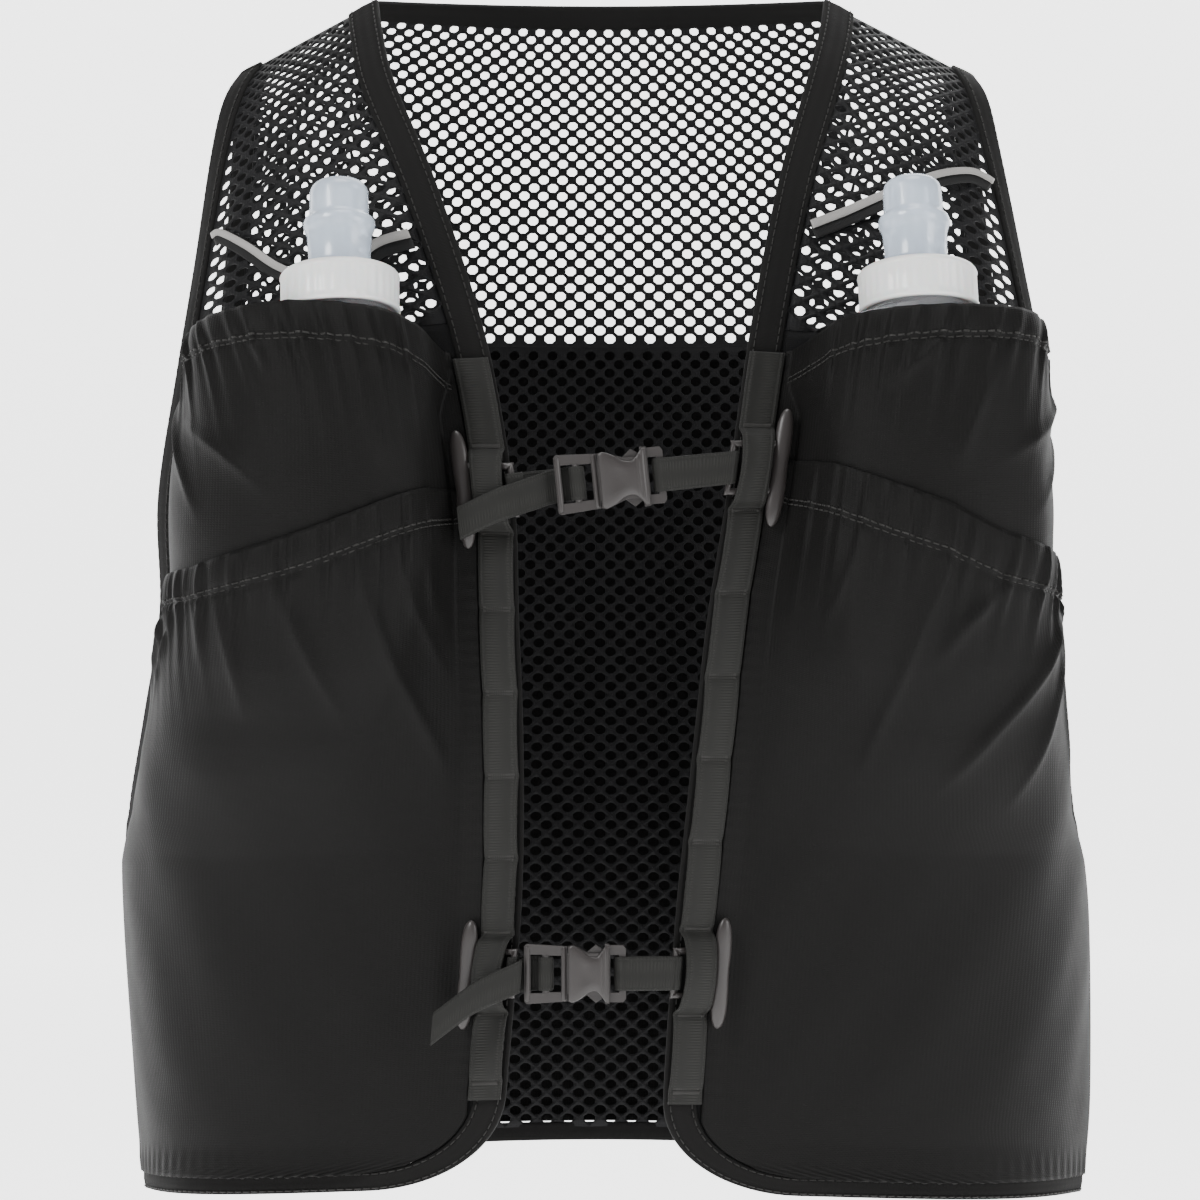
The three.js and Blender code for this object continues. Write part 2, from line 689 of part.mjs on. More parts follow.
// Hip pocket on each wing, between the back pocket and the side seam
function hipPocket(side) {
  const sign = side === 'left' ? -1 : 1;
  const depth = side === 'left' ? hipPocketDepth : 0.5 * hipPocketDepth;
  const top = back.downOf(armholeRow) + armholeTipDrop + 3;
  const bottom = back.length - hemBindingWidth - clearance;
  return sheetBody(evenStops(5), evenStops(5), (u, v, face) => {
    const down = THREE.MathUtils.lerp(top, bottom, v);
    const width = back.widthAt(down);
    const from = backMidShare * width + 2;
    const across = sign * THREE.MathUtils.lerp(from, width - clearance, u);
    const swell = Math.sin(Math.PI * Math.min(1, 0.12 + 0.88 * u)) ** 0.6 * Math.sin(Math.PI * (0.2 + 0.8 * v)) ** 0.5;
    return back.place(across, down, clothBase + clearance + depth * Math.max(0, swell || 0) + face * clothWall);
  });
}

// Down of a pocket's top edge at a share across
function pocketTop(side, kind, share) {
  return fronts[side].downAt(share, between(pocketTops[side][kind], share));
}

// Height that the folds add at a place; between their ends the folds run as low ridges
function foldLift(side, kind, across, down) {
  const panel = fronts[side];
  let lift = 0;
  namedRows(foldColumns, pocketFolds[side][kind]).forEach((fold) => {
    const end = (share, height) => {
      const d = panel.downAt(share, height);
      return new THREE.Vector2(share * panel.widthAt(d), d);
    };
    const from = end(fold.fromAcross, fold.fromHeight);
    const run = end(fold.toAcross, fold.toHeight).sub(from);
    const here = new THREE.Vector2(across, down).sub(from);
    const along = here.dot(run) / run.lengthSq();
    const off = Math.abs(here.cross(run)) / run.length();
    const fade = Math.sin(Math.PI * THREE.MathUtils.clamp(0.15 + 0.85 * along, 0, 1));
    if (along > -0.18) lift += fold.lift * fade * Math.exp(-((off / fold.width) ** 2));
  });
  return lift;
}

// The flat strip beside the webbing is wider where the toggles lie
function swellStart(side, down) {
  const panel = fronts[side];
  const mouth = panel.downAt(0.2, pocketTops[side].bottle[2][1]);
  const ease = THREE.MathUtils.smoothstep(down, mouth + 10, mouth + 30);
  return THREE.MathUtils.lerp(pocketFlatEdge, togglePocketEdge, ease);
}

function flaskAcross(side, down) {
  const panel = fronts[side];
  const place = flaskPlaces[side];
  const top = panel.downAt(place.topAcross, place.topHeight);
  const share = THREE.MathUtils.clamp((down - top) / flaskLength, 0, 1.2);
  return THREE.MathUtils.lerp(place.topAcross, place.bottomAcross, share) * panel.widthAt(down);
}

// Oval that a pocket is stretched over at a share of the flask's length, and below the flask
// the lower pocket's own swell
function swellSection(kind, share) {
  const own = kind === 'bottle' ? flaskSections.slice(2) : [...flaskSections.slice(2, -1), ...lowerPocketSwell];
  const column = (k) => between(own.map((row) => [row[0], row[k]]), share);
  const ease = pocketEase + footEase * THREE.MathUtils.smoothstep(share, 0.85, 1);
  return { halfWidth: column(1) + ease, halfThickness: column(2) + ease, height: column(3) };
}

// Where cloth drawn tight from an edge on the panel touches the oval, in the oval's half sizes
function tautTouch(edgeOff, swell) {
  const edge = [-Math.abs(edgeOff) / swell.halfWidth, (clothBase - swell.height) / swell.halfThickness];
  const reach = Math.max(1.0001, Math.hypot(...edge));
  const angle = Math.atan2(edge[1], edge[0]) + 2 * Math.PI - Math.acos(1 / reach);
  return { edge, angle: THREE.MathUtils.euclideanModulo(angle, 2 * Math.PI) };
}

function tautHeight(off, edgeOff, swell) {
  const { edge, angle } = tautTouch(edgeOff, swell);
  const x = -Math.abs(off) / swell.halfWidth;
  const [touchX, touchY] = [Math.cos(angle), Math.sin(angle)];
  const slope = (touchY - edge[1]) / Math.max(0.02, touchX - edge[0]);
  const y = x < touchX ? edge[1] + (x - edge[0]) * slope : Math.sqrt(Math.max(0, 1 - x * x));
  return swell.height + swell.halfThickness * y;
}

const flaskShareAt = (side, down) => (down - flaskPlace(side, 0).down) / flaskLength;

// Places across at which both pockets bend: a flat strip beside the webbing, the swell
// between the two lines where the cloth touches it, and the slope to the outer edge
function pocketBends(side, down) {
  const panel = fronts[side];
  const swell = swellSection('lower', flaskShareAt(side, down));
  const peak = flaskAcross(side, down);
  const start = Math.max(clothStart(panel, down) + clearance, webbingWidth + 2 * clearance);
  const low = Math.max(swellStart(side, down), start + 2);
  const high = clothEnd(panel, down) - pocketEdgeGap;
  const from = tautTouch(low - peak, swell).angle;
  const to = Math.PI - tautTouch(high - peak, swell).angle;
  const round = evenStops(6, from, to).map((angle) => peak + swell.halfWidth * Math.cos(angle));
  const slope = evenStops(3, round[6], high).slice(1);
  return { low, high, peak, places: [start, low, ...round, ...slope] };
}

const pocketStops = evenStops(11).map((share) => Math.round(11 * share));

// Corner of a pocket at a bend; folds and gathers add to the taut height
function pocketCorner(side, kind, bend, down, lifts, layer) {
  const { low, high, peak, places } = pocketBends(side, down);
  const across = places[bend];
  const share = flaskShareAt(side, down);
  const flat = bend < 2 || bend === places.length - 1 || (kind === 'bottle' && share >= pocketFootShare);
  const off = across - peak;
  const taut = tautHeight(off, off < 0 ? low - peak : high - peak, swellSection(kind, share));
  const near = THREE.MathUtils.smoothstep(across, low, low + 9) * THREE.MathUtils.smoothstep(high - across, 0, 12);
  const rise = flat ? 0 : near * lifts(across);
  const height = (flat ? clothBase : Math.max(clothBase, taut)) + rise + layer;
  return (face) => fronts[side].place(across, down, height + face * clothWall);
}

// Downs of the rows that both pockets share, from the lower pocket's top to the foot of the
// bottle pocket
function sharedRows(side, bend) {
  const top = pocketTopAt(side, 'lower', bend);
  const start = flaskPlace(side, 0).down;
  const [straight, round, end, foot] = [0.78, 0.92, 1, pocketFootShare].map((share) => start + share * flaskLength);
  return [...evenStops(3, top, straight), round, end, foot];
}

// Down of a pocket's top edge at a bend
function pocketTopAt(side, kind, bend) {
  const middle = pocketTop(side, kind, 0.5);
  return pocketTop(side, kind, pocketBends(side, middle).places[bend] / fronts[side].widthAt(middle));
}

const gatherWave = (bend) => (bend % 2 === 0 ? 1 : 0);

function bottlePocket(side) {
  const casing = [0, 0.1, 0.25, 0.45, 0.7, 0.93];
  const rowCount = casing.length + 7;
  return sheetBody(pocketStops, evenStops(rowCount - 1, 0, rowCount - 1), (bend, row, face) => {
    const shared = sharedRows(side, bend);
    const top = pocketTopAt(side, 'bottle', bend);
    const open = row < casing.length;
    const down = open ? THREE.MathUtils.lerp(top, shared[0], casing[row]) : shared[row - casing.length];
    const shown = open ? 1 - casing[row] ** 2 : 0;
    const gather = row === 2 ? 0.8 * gatherWave(bend) : 0;
    const lifts = (across) => shown * (foldLift(side, 'bottle', across, down) + gather);
    return pocketCorner(side, 'bottle', bend, down, lifts, 0)(face);
  });
}

function lowerPocket(side) {
  const panel = fronts[side];
  const turn = panel.length - cornerDown;
  const arc = clothBottom(panel) - turn;
  const tipEnd = panel.armholeEnd + armholeTipDrop;
  const below = [panel.armholeEnd - 3, ...evenStops(3, tipEnd, turn),
    ...[0.5, 0.86, 1].map((share) => turn + arc * share)];
  const rowCount = below.length + 7;
  return sheetBody(pocketStops, evenStops(rowCount - 1, 0, rowCount - 1), (bend, row, face) => {
    const shared = sharedRows(side, bend);
    const down = row < 7 ? shared[row] : below[row - 7];
    const fade = 1 - THREE.MathUtils.smoothstep(down, turn - 20, turn + 20);
    const gather = row === 1 ? 0.9 * gatherWave(bend) : 0;
    const layer = pocketLayer * (1 - THREE.MathUtils.smoothstep(down, shared[6], turn));
    const lifts = (across) => fade * (foldLift(side, 'lower', across, down) + gather);
    return pocketCorner(side, 'lower', bend, down, lifts, layer)(face);
  });
}

// Downs of the bar tacks and the ends of a webbing
function webbingStations(side) {
  const places = webbingPlaces[side];
  return [places.top, ...places.tacks, places.bottom].map((height) => fronts[side].downAt(0.04, height));
}

// Loops that carry a toggle stand higher than the others
function toggleLoop(side, level) {
  const stations = webbingStations(side);
  const k = strapLoops[level][side] + 1;
  return { from: stations[k], to: stations[k + 1], middle: (stations[k] + stations[k + 1]) / 2 };
}

function daisyChain(side) {
  const panel = fronts[side];
  const stations = webbingStations(side);
  const toggled = Object.values(strapLoops).map((loop) => loop[side] + 1);
  const sections = [];
  stations.slice(0, -1).forEach((from, k) => {
    const to = stations[k + 1];
    const rise = toggled.includes(k) ? toggleLoopRise : plainLoopRise;
    const ends = k === 0 || k === stations.length - 2;
    const shares = toggled.includes(k) ? [0, 0.08, 0.2, 0.5, 0.8, 0.92, 1] : evenStops(3);
    shares.slice(k === 0 ? 0 : 1).forEach((share) => {
      const down = THREE.MathUtils.lerp(from, to, share);
      const height = webbingBase + (ends ? 0 : rise * Math.sqrt(Math.abs(Math.sin(Math.PI * share))));
      sections.push([
        panel.place(0, down, height), panel.place(0, down, height + webbingThickness),
        panel.place(webbingWidth, down, height + webbingThickness), panel.place(webbingWidth, down, height),
      ]);
    });
  });
  return sectionBody(sections);
}

// Joins closed bodies into one
function joined(...bodies) {
  const solids = bodies.map((body) => new manifold.Manifold(new manifold.Mesh({
    numProp: 3,
    vertProperties: new Float32Array(body.attributes.position.array),
    triVerts: new Uint32Array(body.index.array),
  })));
  const mesh = solids.reduce((sum, solid) => sum.add(solid)).getMesh();
  const geometry = new THREE.BufferGeometry();
  geometry.setAttribute('position', new THREE.BufferAttribute(mesh.vertProperties, 3));
  geometry.setIndex(Array.from(mesh.triVerts));
  return tidyBody(geometry);
}

// Toggle: a long rounded bar outside the webbing and a bracket that passes under its loop
const toggleBarAcross = webbingWidth + clearance + toggleWidth / 2;
const strapBarAcross = -2.8;

function toggle(side, level) {
  const panel = fronts[side];
  const centre = toggleLoop(side, level).middle;
  const barSections = [-1, -0.93, -0.7, 0, 0.7, 0.93, 1].map((along) => {
    const full = Math.max(0.3, Math.sqrt(1 - Math.abs(along) ** 5));
    return evenStops(6).slice(0, 6).map((share) => {
      const angle = 2 * Math.PI * share;
      return panel.place(
        toggleBarAcross + (toggleWidth / 2) * full * Math.cos(angle),
        centre + (toggleLength / 2) * along,
        armLift + (toggleThickness / 2) * full * Math.sin(angle),
      );
    });
  });
  const armHalf = toggleArmSpread / 2;
  const turn = toggleArmCorner;
  const route = [[toggleBarAcross, -armHalf], [strapBarAcross + turn, -armHalf], [strapBarAcross, turn - armHalf],
    [strapBarAcross, armHalf - turn], [strapBarAcross + turn, armHalf], [toggleBarAcross, armHalf]];
  const inward = [[0, 1], [0.6, 1], [1, 0.6], [1, -0.6], [0.6, -1], [0, -1]];
  const bracket = route.map(([across, along], k) => {
    const [da, dd] = inward[k];
    const half = toggleArmWidth / 2;
    const corner = (sideways, up) => panel.place(across + sideways * half * da,
      centre + along + sideways * half * dd, armLift + (up * toggleArmThickness) / 2);
    return [corner(-1, -1), corner(-1, 1), corner(1, 1), corner(1, -1)];
  });
  return joined(sectionBody(barSections), sectionBody(bracket));
}

// Frame between the two strap bars of a level; toward each bar the strap's width turns to
// lie along that bar
function strapFrame(level) {
  const { buckleStart, buckleLength } = chestStraps[level];
  const bars = ['left', 'right'].map((side) => {
    const middle = toggleLoop(side, level).middle;
    const half = toggleArmSpread / 2 - toggleArmCorner;
    const [top, low] = [middle - half, middle + half].map((down) => fronts[side].place(strapBarAcross, down, armLift));
    return { centre: top.clone().add(low).multiplyScalar(0.5), run: top.sub(low).normalize() };
  });
  const start = bars[0].centre;
  const along = bars[1].centre.clone().sub(start);
  const span = along.length();
  along.normalize();
  const out = new THREE.Vector3(0, -1, 0).addScaledVector(along, along.y).normalize();
  const up = new THREE.Vector3().crossVectors(out, along).normalize();
  const widthRun = (u) => {
    const buckleEnd = buckleStart + buckleLength;
    const left = (buckleStart - u) / (buckleStart - strapLoopRadius);
    const right = (u - buckleEnd) / (span - strapLoopRadius - buckleEnd);
    const turn = THREE.MathUtils.clamp(Math.max(left, right), 0, 1);
    return up.clone().lerp(left > right ? bars[0].run : bars[1].run, turn).normalize();
  };
  const at = (u, n, w = 0) => start.clone().addScaledVector(along, u).addScaledVector(out, n)
    .addScaledVector(widthRun(u), w);
  return { span, along, out, up, at };
}

// Strap swept along a route of (along, out, up) places, each with its own thickness
function strapSections(frame, route) {
  return route.map(([u, n, w, thickness], k) => {
    const before = route[Math.max(0, k - 1)];
    const after = route[Math.min(route.length - 1, k + 1)];
    const run = new THREE.Vector2(after[0] - before[0], after[1] - before[1]).normalize();
    const half = thickness / 2;
    const corner = (face, edge) => frame.at(
      u - run.y * half * face,
      n + run.x * half * face,
      w + (edge * chestStrapWidth) / 2,
    );
    return [corner(-1, -1), corner(1, -1), corner(1, 1), corner(-1, 1)];
  });
}

const socketBar = 1.3;
const latchThickness = 2.4;
const latchMiddle = latchThickness / 2;
const coreHalf = latchThickness / 2 + clearance;
const strapSlot = 3.4;
const frameWall = 2.4;
const prongReach = 0.78;
const slotWidth = 4.6;

// Points round a strap bar from one face to the other, away from the strap
function roundBar(centre, level, away, radius, steps, from) {
  return evenStops(steps).map((share) => {
    const angle = Math.PI * (0.5 - share);
    return [centre + away * radius * Math.cos(angle), level + from * radius * Math.sin(angle), 0,
      chestStrapThickness];
  });
}

// Strap of the right side: a closed loop between the toggle's bracket and the socket's bar
function rightStrap(level) {
  const frame = strapFrame(level);
  const { buckleStart, buckleLength } = chestStraps[level];
  const barAt = buckleStart + buckleLength - socketBar;
  const socketRadius = Math.hypot(socketBar, coreHalf) + clearance + chestStrapThickness / 2;
  const route = [...roundBar(frame.span, 0, 1, strapLoopRadius, 5, 1),
    ...roundBar(barAt, latchMiddle, -1, socketRadius, 5, -1)];
  const sections = route.map((place, k) => {
    const count = route.length;
    const [before, after] = [route[(k + count - 1) % count], route[(k + 1) % count]];
    return strapSections(frame, [before, place, after])[1];
  });
  return sectionBody(sections, true);
}

// Strap of the left side: sewn round the toggle's bracket, through the ladder and back as
// a tail with a folded end
function leftStrap(level) {
  const frame = strapFrame(level);
  const { buckleStart, tailReach, tailDrop, tailSlope } = chestStraps[level];
  const bar = buckleStart + frameWall + slotWidth + socketBar;
  const [side, over, t] = [socketBar + clearance + 0.7, latchThickness + clearance + 0.7, chestStrapThickness];
  const low = -buckleThickness / 2 + 0.5;
  const overWebbing = webbingBase + toggleLoopRise + webbingThickness - armLift + clearance + t;
  const drop = (u) => tailDrop * THREE.MathUtils.clamp((buckleStart - u) / (buckleStart - tailReach), 0, 1);
  const tail = [[buckleStart - 1.8, low + 1.4], [buckleStart * 0.52, 3], [2.8, overWebbing - 1.4],
    [-0.6, overWebbing]];
  const route = [
    [Math.min(4.5, buckleStart * 0.3), strapLoopRadius, 0, t],
    ...roundBar(0, 0, -1, strapLoopRadius, 5, 1),
    [2.8, -strapLoopRadius, 0, t],
    [4.9, low - 0.6, 0, t],
    [bar + side - 1.2, low - 0.6, 0, t],
    [bar + side, low + 1.2, 0, t],
    [bar + side, over - 1.2, 0, t],
    [bar + side - 1.2, over, 0, t],
    [bar - side + 1.2, over, 0, t],
    [bar - side, over - 1.2, 0, t],
    [bar - side, low + 2.6, 0, t],
    [bar - side - 1.3, low + 1.3, 0, t],
    ...tail.map(([u, n]) => [u, n, drop(u), t]),
    [tailReach, overWebbing, tailDrop, 3 * t],
    [tailReach - tailEndLength, overWebbing - 3, tailDrop - tailSlope * tailEndLength, 3 * t],
  ];
  return sectionBody(strapSections(frame, route));
}

// Extruded plate in a strap's frame, from an outline with openings
function strapPlate(frame, shape, low, high) {
  const geometry = new THREE.ExtrudeGeometry(shape, { depth: high - low, bevelEnabled: false, steps: 1 });
  const basis = new THREE.Matrix4().makeBasis(frame.along, frame.up, frame.out);
  basis.setPosition(frame.at(0, low));
  geometry.applyMatrix4(basis);
  return tidyBody(geometry);
}

function outline(points) {
  return new THREE.Shape(points.map(([u, w]) => new THREE.Vector2(u, w)));
}

function slot(u0, u1, half) {
  const corners = [[u0, -half], [u1, -half], [u1, half], [u0, half]];
  return new THREE.Path(corners.map(([u, w]) => new THREE.Vector2(u, w)));
}

// Ladder and latch: a frame with two slots, and two prongs that reach into the socket
function buckleLatch(level) {
  const frame = strapFrame(level);
  const { buckleStart: s, buckleLength } = chestStraps[level];
  const half = buckleWidth / 2;
  const face = s + latchFaceAt;
  const tip = s + buckleLength * prongReach;
  const plate = outline([[s, 1 - half], [s, half - 1], [s + 1, half], [face, half - 1], [face, 7.6],
    [tip - 7, 7.6], [tip - 3, half - 0.4], [tip, half - 2.4], [tip - 1, 5.6], [face + 1.5, 4.4],
    [face + 1.5, -4.4], [tip - 1, -5.6], [tip, 2.4 - half], [tip - 3, 0.4 - half], [tip - 7, -7.6],
    [face, -7.6], [face, 1 - half], [s + 1, -half]]);
  const slotHalf = chestStrapWidth / 2 + 0.9;
  const first = s + frameWall;
  plate.holes.push(slot(first, first + slotWidth, slotHalf));
  const second = first + slotWidth + 2 * socketBar;
  plate.holes.push(slot(second, second + slotWidth, slotHalf - 0.4));
  return strapPlate(frame, plate, 0, latchThickness);
}

const latchFaceAt = 2 * frameWall + 2 * slotWidth + 2 * socketBar;

// Socket: two plates with side walls round the prongs, open at its windows, and a strap slot
function buckleSocket(level) {
  const frame = strapFrame(level);
  const { buckleStart: s, buckleLength } = chestStraps[level];
  const half = buckleWidth / 2;
  const [face, end] = [s + latchFaceAt + clearance, s + buckleLength];
  const tip = s + buckleLength * prongReach;
  const slotEnd = end - 2 * socketBar;
  const coverEnd = slotEnd - strapSlot - clearance;
  const cover = outline([[face, 1 - half], [face, half - 1], [face + 2, half - 0.6], [tip - 6, 7.9],
    [tip + clearance, 7.9], [tip + 0.6, half], [coverEnd, half - 0.2], [coverEnd, 0.2 - half],
    [tip + 0.6, -half], [tip + clearance, -7.9], [tip - 6, -7.9], [face + 2, 0.6 - half]]);
  const core = outline([[tip + 0.9, 0.6 - half], [tip + 0.9, half - 0.6], [end - 1, half - 0.6],
    [end, half - 2], [end, 2 - half], [end - 1, 0.6 - half]]);
  core.holes.push(slot(slotEnd - strapSlot, slotEnd, chestStrapWidth / 2 + 0.7));
  const low = latchMiddle - buckleThickness / 2;
  return joined(
    strapPlate(frame, cover, low, -clearance),
    strapPlate(frame, cover, latchThickness + clearance, low + buckleThickness),
    strapPlate(frame, core, -clearance - 0.05, latchThickness + clearance + 0.05),
  );
}

// Elastic band and its reflective stripe over the shoulder net
function bandBody(side, from, to, base, thickness) {
  const panel = fronts[side];
  const route = bandRoutes[side].map(([share, height]) => {
    const down = panel.downAt(share, height);
    return new THREE.Vector3(share * panel.widthAt(down), down, 0);
  });
  const curve = new THREE.CatmullRomCurve3(route);
  return sectionBody(evenStops(11).map((share) => {
    const p = curve.getPoint(share);
    const run = curve.getTangent(share);
    const off = new THREE.Vector2(-run.y, run.x).multiplyScalar(run.x < 0 ? -1 : 1);
    const corner = (sideways, height) => panel.place(p.x + off.x * sideways, p.y + off.y * sideways, height);
    return [corner(from, base), corner(from, base + thickness), corner(to, base + thickness), corner(to, base)];
  }));
}

// Flask: a thin film bottle that follows the panel, with a round neck under its cap
function flaskPlace(side, share) {
  const panel = fronts[side];
  const place = flaskPlaces[side];
  const down = panel.downAt(place.topAcross, place.topHeight) + share * flaskLength;
  return { down, across: flaskAcross(side, down) };
}

function flaskFrame(side) {
  const panel = fronts[side];
  const height = flaskSections[0][3];
  const at = (share) => {
    const { down, across } = flaskPlace(side, share);
    return panel.place(across, down, height);
  };
  const origin = at(0);
  const up = origin.clone().sub(at(0.06)).normalize();
  const front = panel.normal(flaskPlace(side, 0).across, flaskPlace(side, 0).down);
  const right = new THREE.Vector3().crossVectors(up, front).normalize();
  return { origin, up, right, front: new THREE.Vector3().crossVectors(right, up) };
}

function flaskBody(side) {
  const panel = fronts[side];
  const sides = 12;
  const { origin, up, right, front } = flaskFrame(side);
  const turns = evenStops(sides).slice(0, sides).map((share) => 2 * Math.PI * share);
  const ring = (radius, height) => turns.map((angle) => origin.clone()
    .addScaledVector(up, height)
    .addScaledVector(right, radius * Math.cos(angle))
    .addScaledVector(front, radius * Math.sin(angle)));
  const across = side === 'left' ? -1 : 1;
  const loop = (row, inset) => {
    const [share, width, thickness, height] = row;
    const { down, across: middle } = flaskPlace(side, share === 1 ? 1 - inset / flaskLength : share);
    return turns.map((angle) => panel.place(
      middle + across * (width - inset) * Math.cos(angle),
      down,
      height + (thickness - inset) * Math.sin(angle),
    ));
  };
  const outer = flaskSections.slice(1).map((row) => loop(row, 0));
  const inner = flaskSections.slice(1).map((row) => loop(row, flaskWall)).reverse();
  const outside = [ring(neckRadius, neckHeight), ring(neckRadius, 0), ...outer];
  const inside = [...inner, ring(neckRadius - flaskWall, 0), ring(neckRadius - flaskWall, neckHeight)];
  return joinedRings(outside, inside);
}

// Bottle of an outer and an inner run of rings, each closed at the foot, joined at the rim
function joinedRings(outside, inside) {
  const sides = outside[0].length;
  const rings = [...outside, ...inside];
  const points = rings.flat();
  const faces = [];
  const band = (a, b) => {
    for (let i = 0; i < sides; i += 1) {
      const n = (i + 1) % sides;
      faces.push([a * sides + i, a * sides + n, b * sides + n], [a * sides + i, b * sides + n, b * sides + i]);
    }
  };
  const foot = (ring, reverse) => {
    for (let i = 1; i < sides - 1; i += 1) {
      const face = [ring * sides, ring * sides + i, ring * sides + i + 1];
      faces.push(reverse ? face.reverse() : face);
    }
  };
  for (let k = 0; k < outside.length - 1; k += 1) band(k, k + 1);
  foot(outside.length - 1, false);
  foot(outside.length, true);
  for (let k = outside.length; k < rings.length - 1; k += 1) band(k, k + 1);
  band(rings.length - 1, 0);
  return closedBody(points, faces);
}

// Turned piece on the flask's axis from a profile of (radius, height)
function turned(side, profile, segments) {
  const { origin, up, right, front } = flaskFrame(side);
  const geometry = new THREE.LatheGeometry(profile.map(([r, h]) => new THREE.Vector2(r, h)), segments);
  const basis = new THREE.Matrix4().makeBasis(right, up, front.clone().negate());
  basis.setPosition(origin);
  geometry.applyMatrix4(basis);
  return tidyBody(geometry);
}

const capFoot = 0.6;
const capTop = capFoot + capHeight;
const stemTop = capTop + valveHeight - 6;

function flaskCap(side) {
  const roof = capTop - capWall - 2;
  return turned(side, [[0, roof], [capRadius - capWall, roof], [capRadius - capWall, capFoot],
    [capRadius, capFoot], [capRadius, capTop - 3.5], [capRadius - 2, capTop - 1.2], [capRadius - 5, capTop],
    [stemRadius, capTop], [stemRadius, stemTop], [0, stemTop]], 16);
}

function biteValve(side) {
  const foot = capTop + clearance;
  const top = capTop + valveHeight;
  const ringAt = capTop + valveHeight * 0.46;
  const r = valveRadius;
  return turned(side, [[0, stemTop + clearance], [stemRadius + clearance, stemTop + clearance],
    [stemRadius + clearance, foot], [r, foot], [r + 0.5, ringAt - 3], [r + 1.6, ringAt], [r + 1.6, ringAt + 3],
    [r - 0.6, ringAt + 5], [r - 1, top - 5], [r - 3.5, top - 1.5], [4, top], [0, top]], 12);
}

// Assembly
addPiece('back_mesh_panel', backNet(), 'net');
addPiece('neck_binding', neckTape(), 'binding');
addPiece('back_pocket_panel', backPocket(), 'pocket');
addPiece('back_hem_binding', backHem(), 'binding');
['left', 'right'].forEach((side) => {
  addPiece(`${side}_front_mesh_panel`, frontNet(side), 'net');
  addPiece(`${side}_front_binding`, frontBinding(side), 'binding');
  addPiece(`${side}_armhole_binding`, armholeBinding(side), 'binding');
  addPiece(`${side}_bottle_pocket`, bottlePocket(side), 'pocket');
  addPiece(`${side}_lower_pocket`, lowerPocket(side), 'pocket');
  addPiece(`${side}_hip_pocket`, hipPocket(side), 'pocket');
  addPiece(`${side}_daisy_chain`, daisyChain(side), 'webbing');
  const bandTop = -stripeWidth / 2 - 0.4;
  addPiece(`${side}_elastic_band`, bandBody(side, bandTop, bandTop + bandWidth, clothBase, bandThickness), 'elastic');
  const stripeBase = clothBase + bandThickness + clearance;
  const stripe = bandBody(side, -stripeWidth / 2, stripeWidth / 2, stripeBase, stripeThickness);
  addPiece(`${side}_reflective_stripe`, stripe, 'reflective');
  addPiece(`${side}_flask_body`, flaskBody(side), 'film');
  addPiece(`${side}_flask_cap`, flaskCap(side), 'cap');
  addPiece(`${side}_bite_valve`, biteValve(side), 'valve');
});
['upper', 'lower'].forEach((level) => {
  addPiece(`${level}_left_toggle`, toggle('left', level), 'plastic');
  addPiece(`${level}_right_toggle`, toggle('right', level), 'plastic');
  addPiece(`${level}_adjuster_strap`, leftStrap(level), 'webbing');
  addPiece(`${level}_loop_strap`, rightStrap(level), 'webbing');
  addPiece(`${level}_buckle_latch`, buckleLatch(level), 'plastic');
  addPiece(`${level}_buckle_socket`, buckleSocket(level), 'plastic');
});

export default vest;
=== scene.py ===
import math
import bmesh
import bpy
import numpy as np
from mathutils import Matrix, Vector


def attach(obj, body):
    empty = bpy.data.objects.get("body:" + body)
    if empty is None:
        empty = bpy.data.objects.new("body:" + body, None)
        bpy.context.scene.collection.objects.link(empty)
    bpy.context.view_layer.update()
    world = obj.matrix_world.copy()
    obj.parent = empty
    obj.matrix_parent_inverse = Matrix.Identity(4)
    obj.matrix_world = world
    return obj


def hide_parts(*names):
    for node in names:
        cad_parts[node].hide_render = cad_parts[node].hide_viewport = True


# Running hydration vest: the cloth, nets, bindings, webbing, straps, buckles and flasks are modelled
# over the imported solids. Lengths are millimetres on the panels and become metres in the meshes.
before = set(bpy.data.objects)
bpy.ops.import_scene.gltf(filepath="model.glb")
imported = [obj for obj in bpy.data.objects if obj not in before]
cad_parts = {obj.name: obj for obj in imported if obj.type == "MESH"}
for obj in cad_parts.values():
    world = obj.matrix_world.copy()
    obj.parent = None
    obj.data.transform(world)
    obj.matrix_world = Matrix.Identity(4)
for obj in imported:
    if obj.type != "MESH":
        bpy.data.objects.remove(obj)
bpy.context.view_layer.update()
vestBody = "vest"
sides = ("left", "right")
levels = ("upper", "lower")

# Camera and studio
studio = {
    "eye": (0.0, -2.310, -0.2403), "lens": 171.6, "sensor": 36.0,
    "floorAt": -0.62, "wallAt": 5.2, "reach": 6.0, "bend": 1.2, "flatRun": 8.0, "apron": 12.0,
    "run": 12.0, "wallStretch": 1.6,
    "paper": (0.93, 0.93, 0.93), "paperGlow": 2.2, "sky": (1.0, 1.0, 1.0), "skyPower": 0.38,
    "lamps": [
        ("key_lamp", (-1.5, -1.5, 1.3), 0.9, 66.0),
        ("fill_lamp", (1.9, -1.2, 0.4), 1.0, 30.0),
        ("top_lamp", (0.1, -0.2, 1.7), 1.0, 30.0),
        ("rim_lamp", (0.3, 1.0, 0.9), 0.8, 8.0),
    ],
}
camera = bpy.data.objects.new("camera", bpy.data.cameras.new("camera"))
camera.data.lens, camera.data.sensor_width = studio["lens"], studio["sensor"]
camera.data.clip_start, camera.data.clip_end = 0.05, 50
camera.location, camera.rotation_euler = studio["eye"], (math.pi / 2, 0, 0)
bpy.context.scene.collection.objects.link(camera)
bpy.context.scene.camera = camera
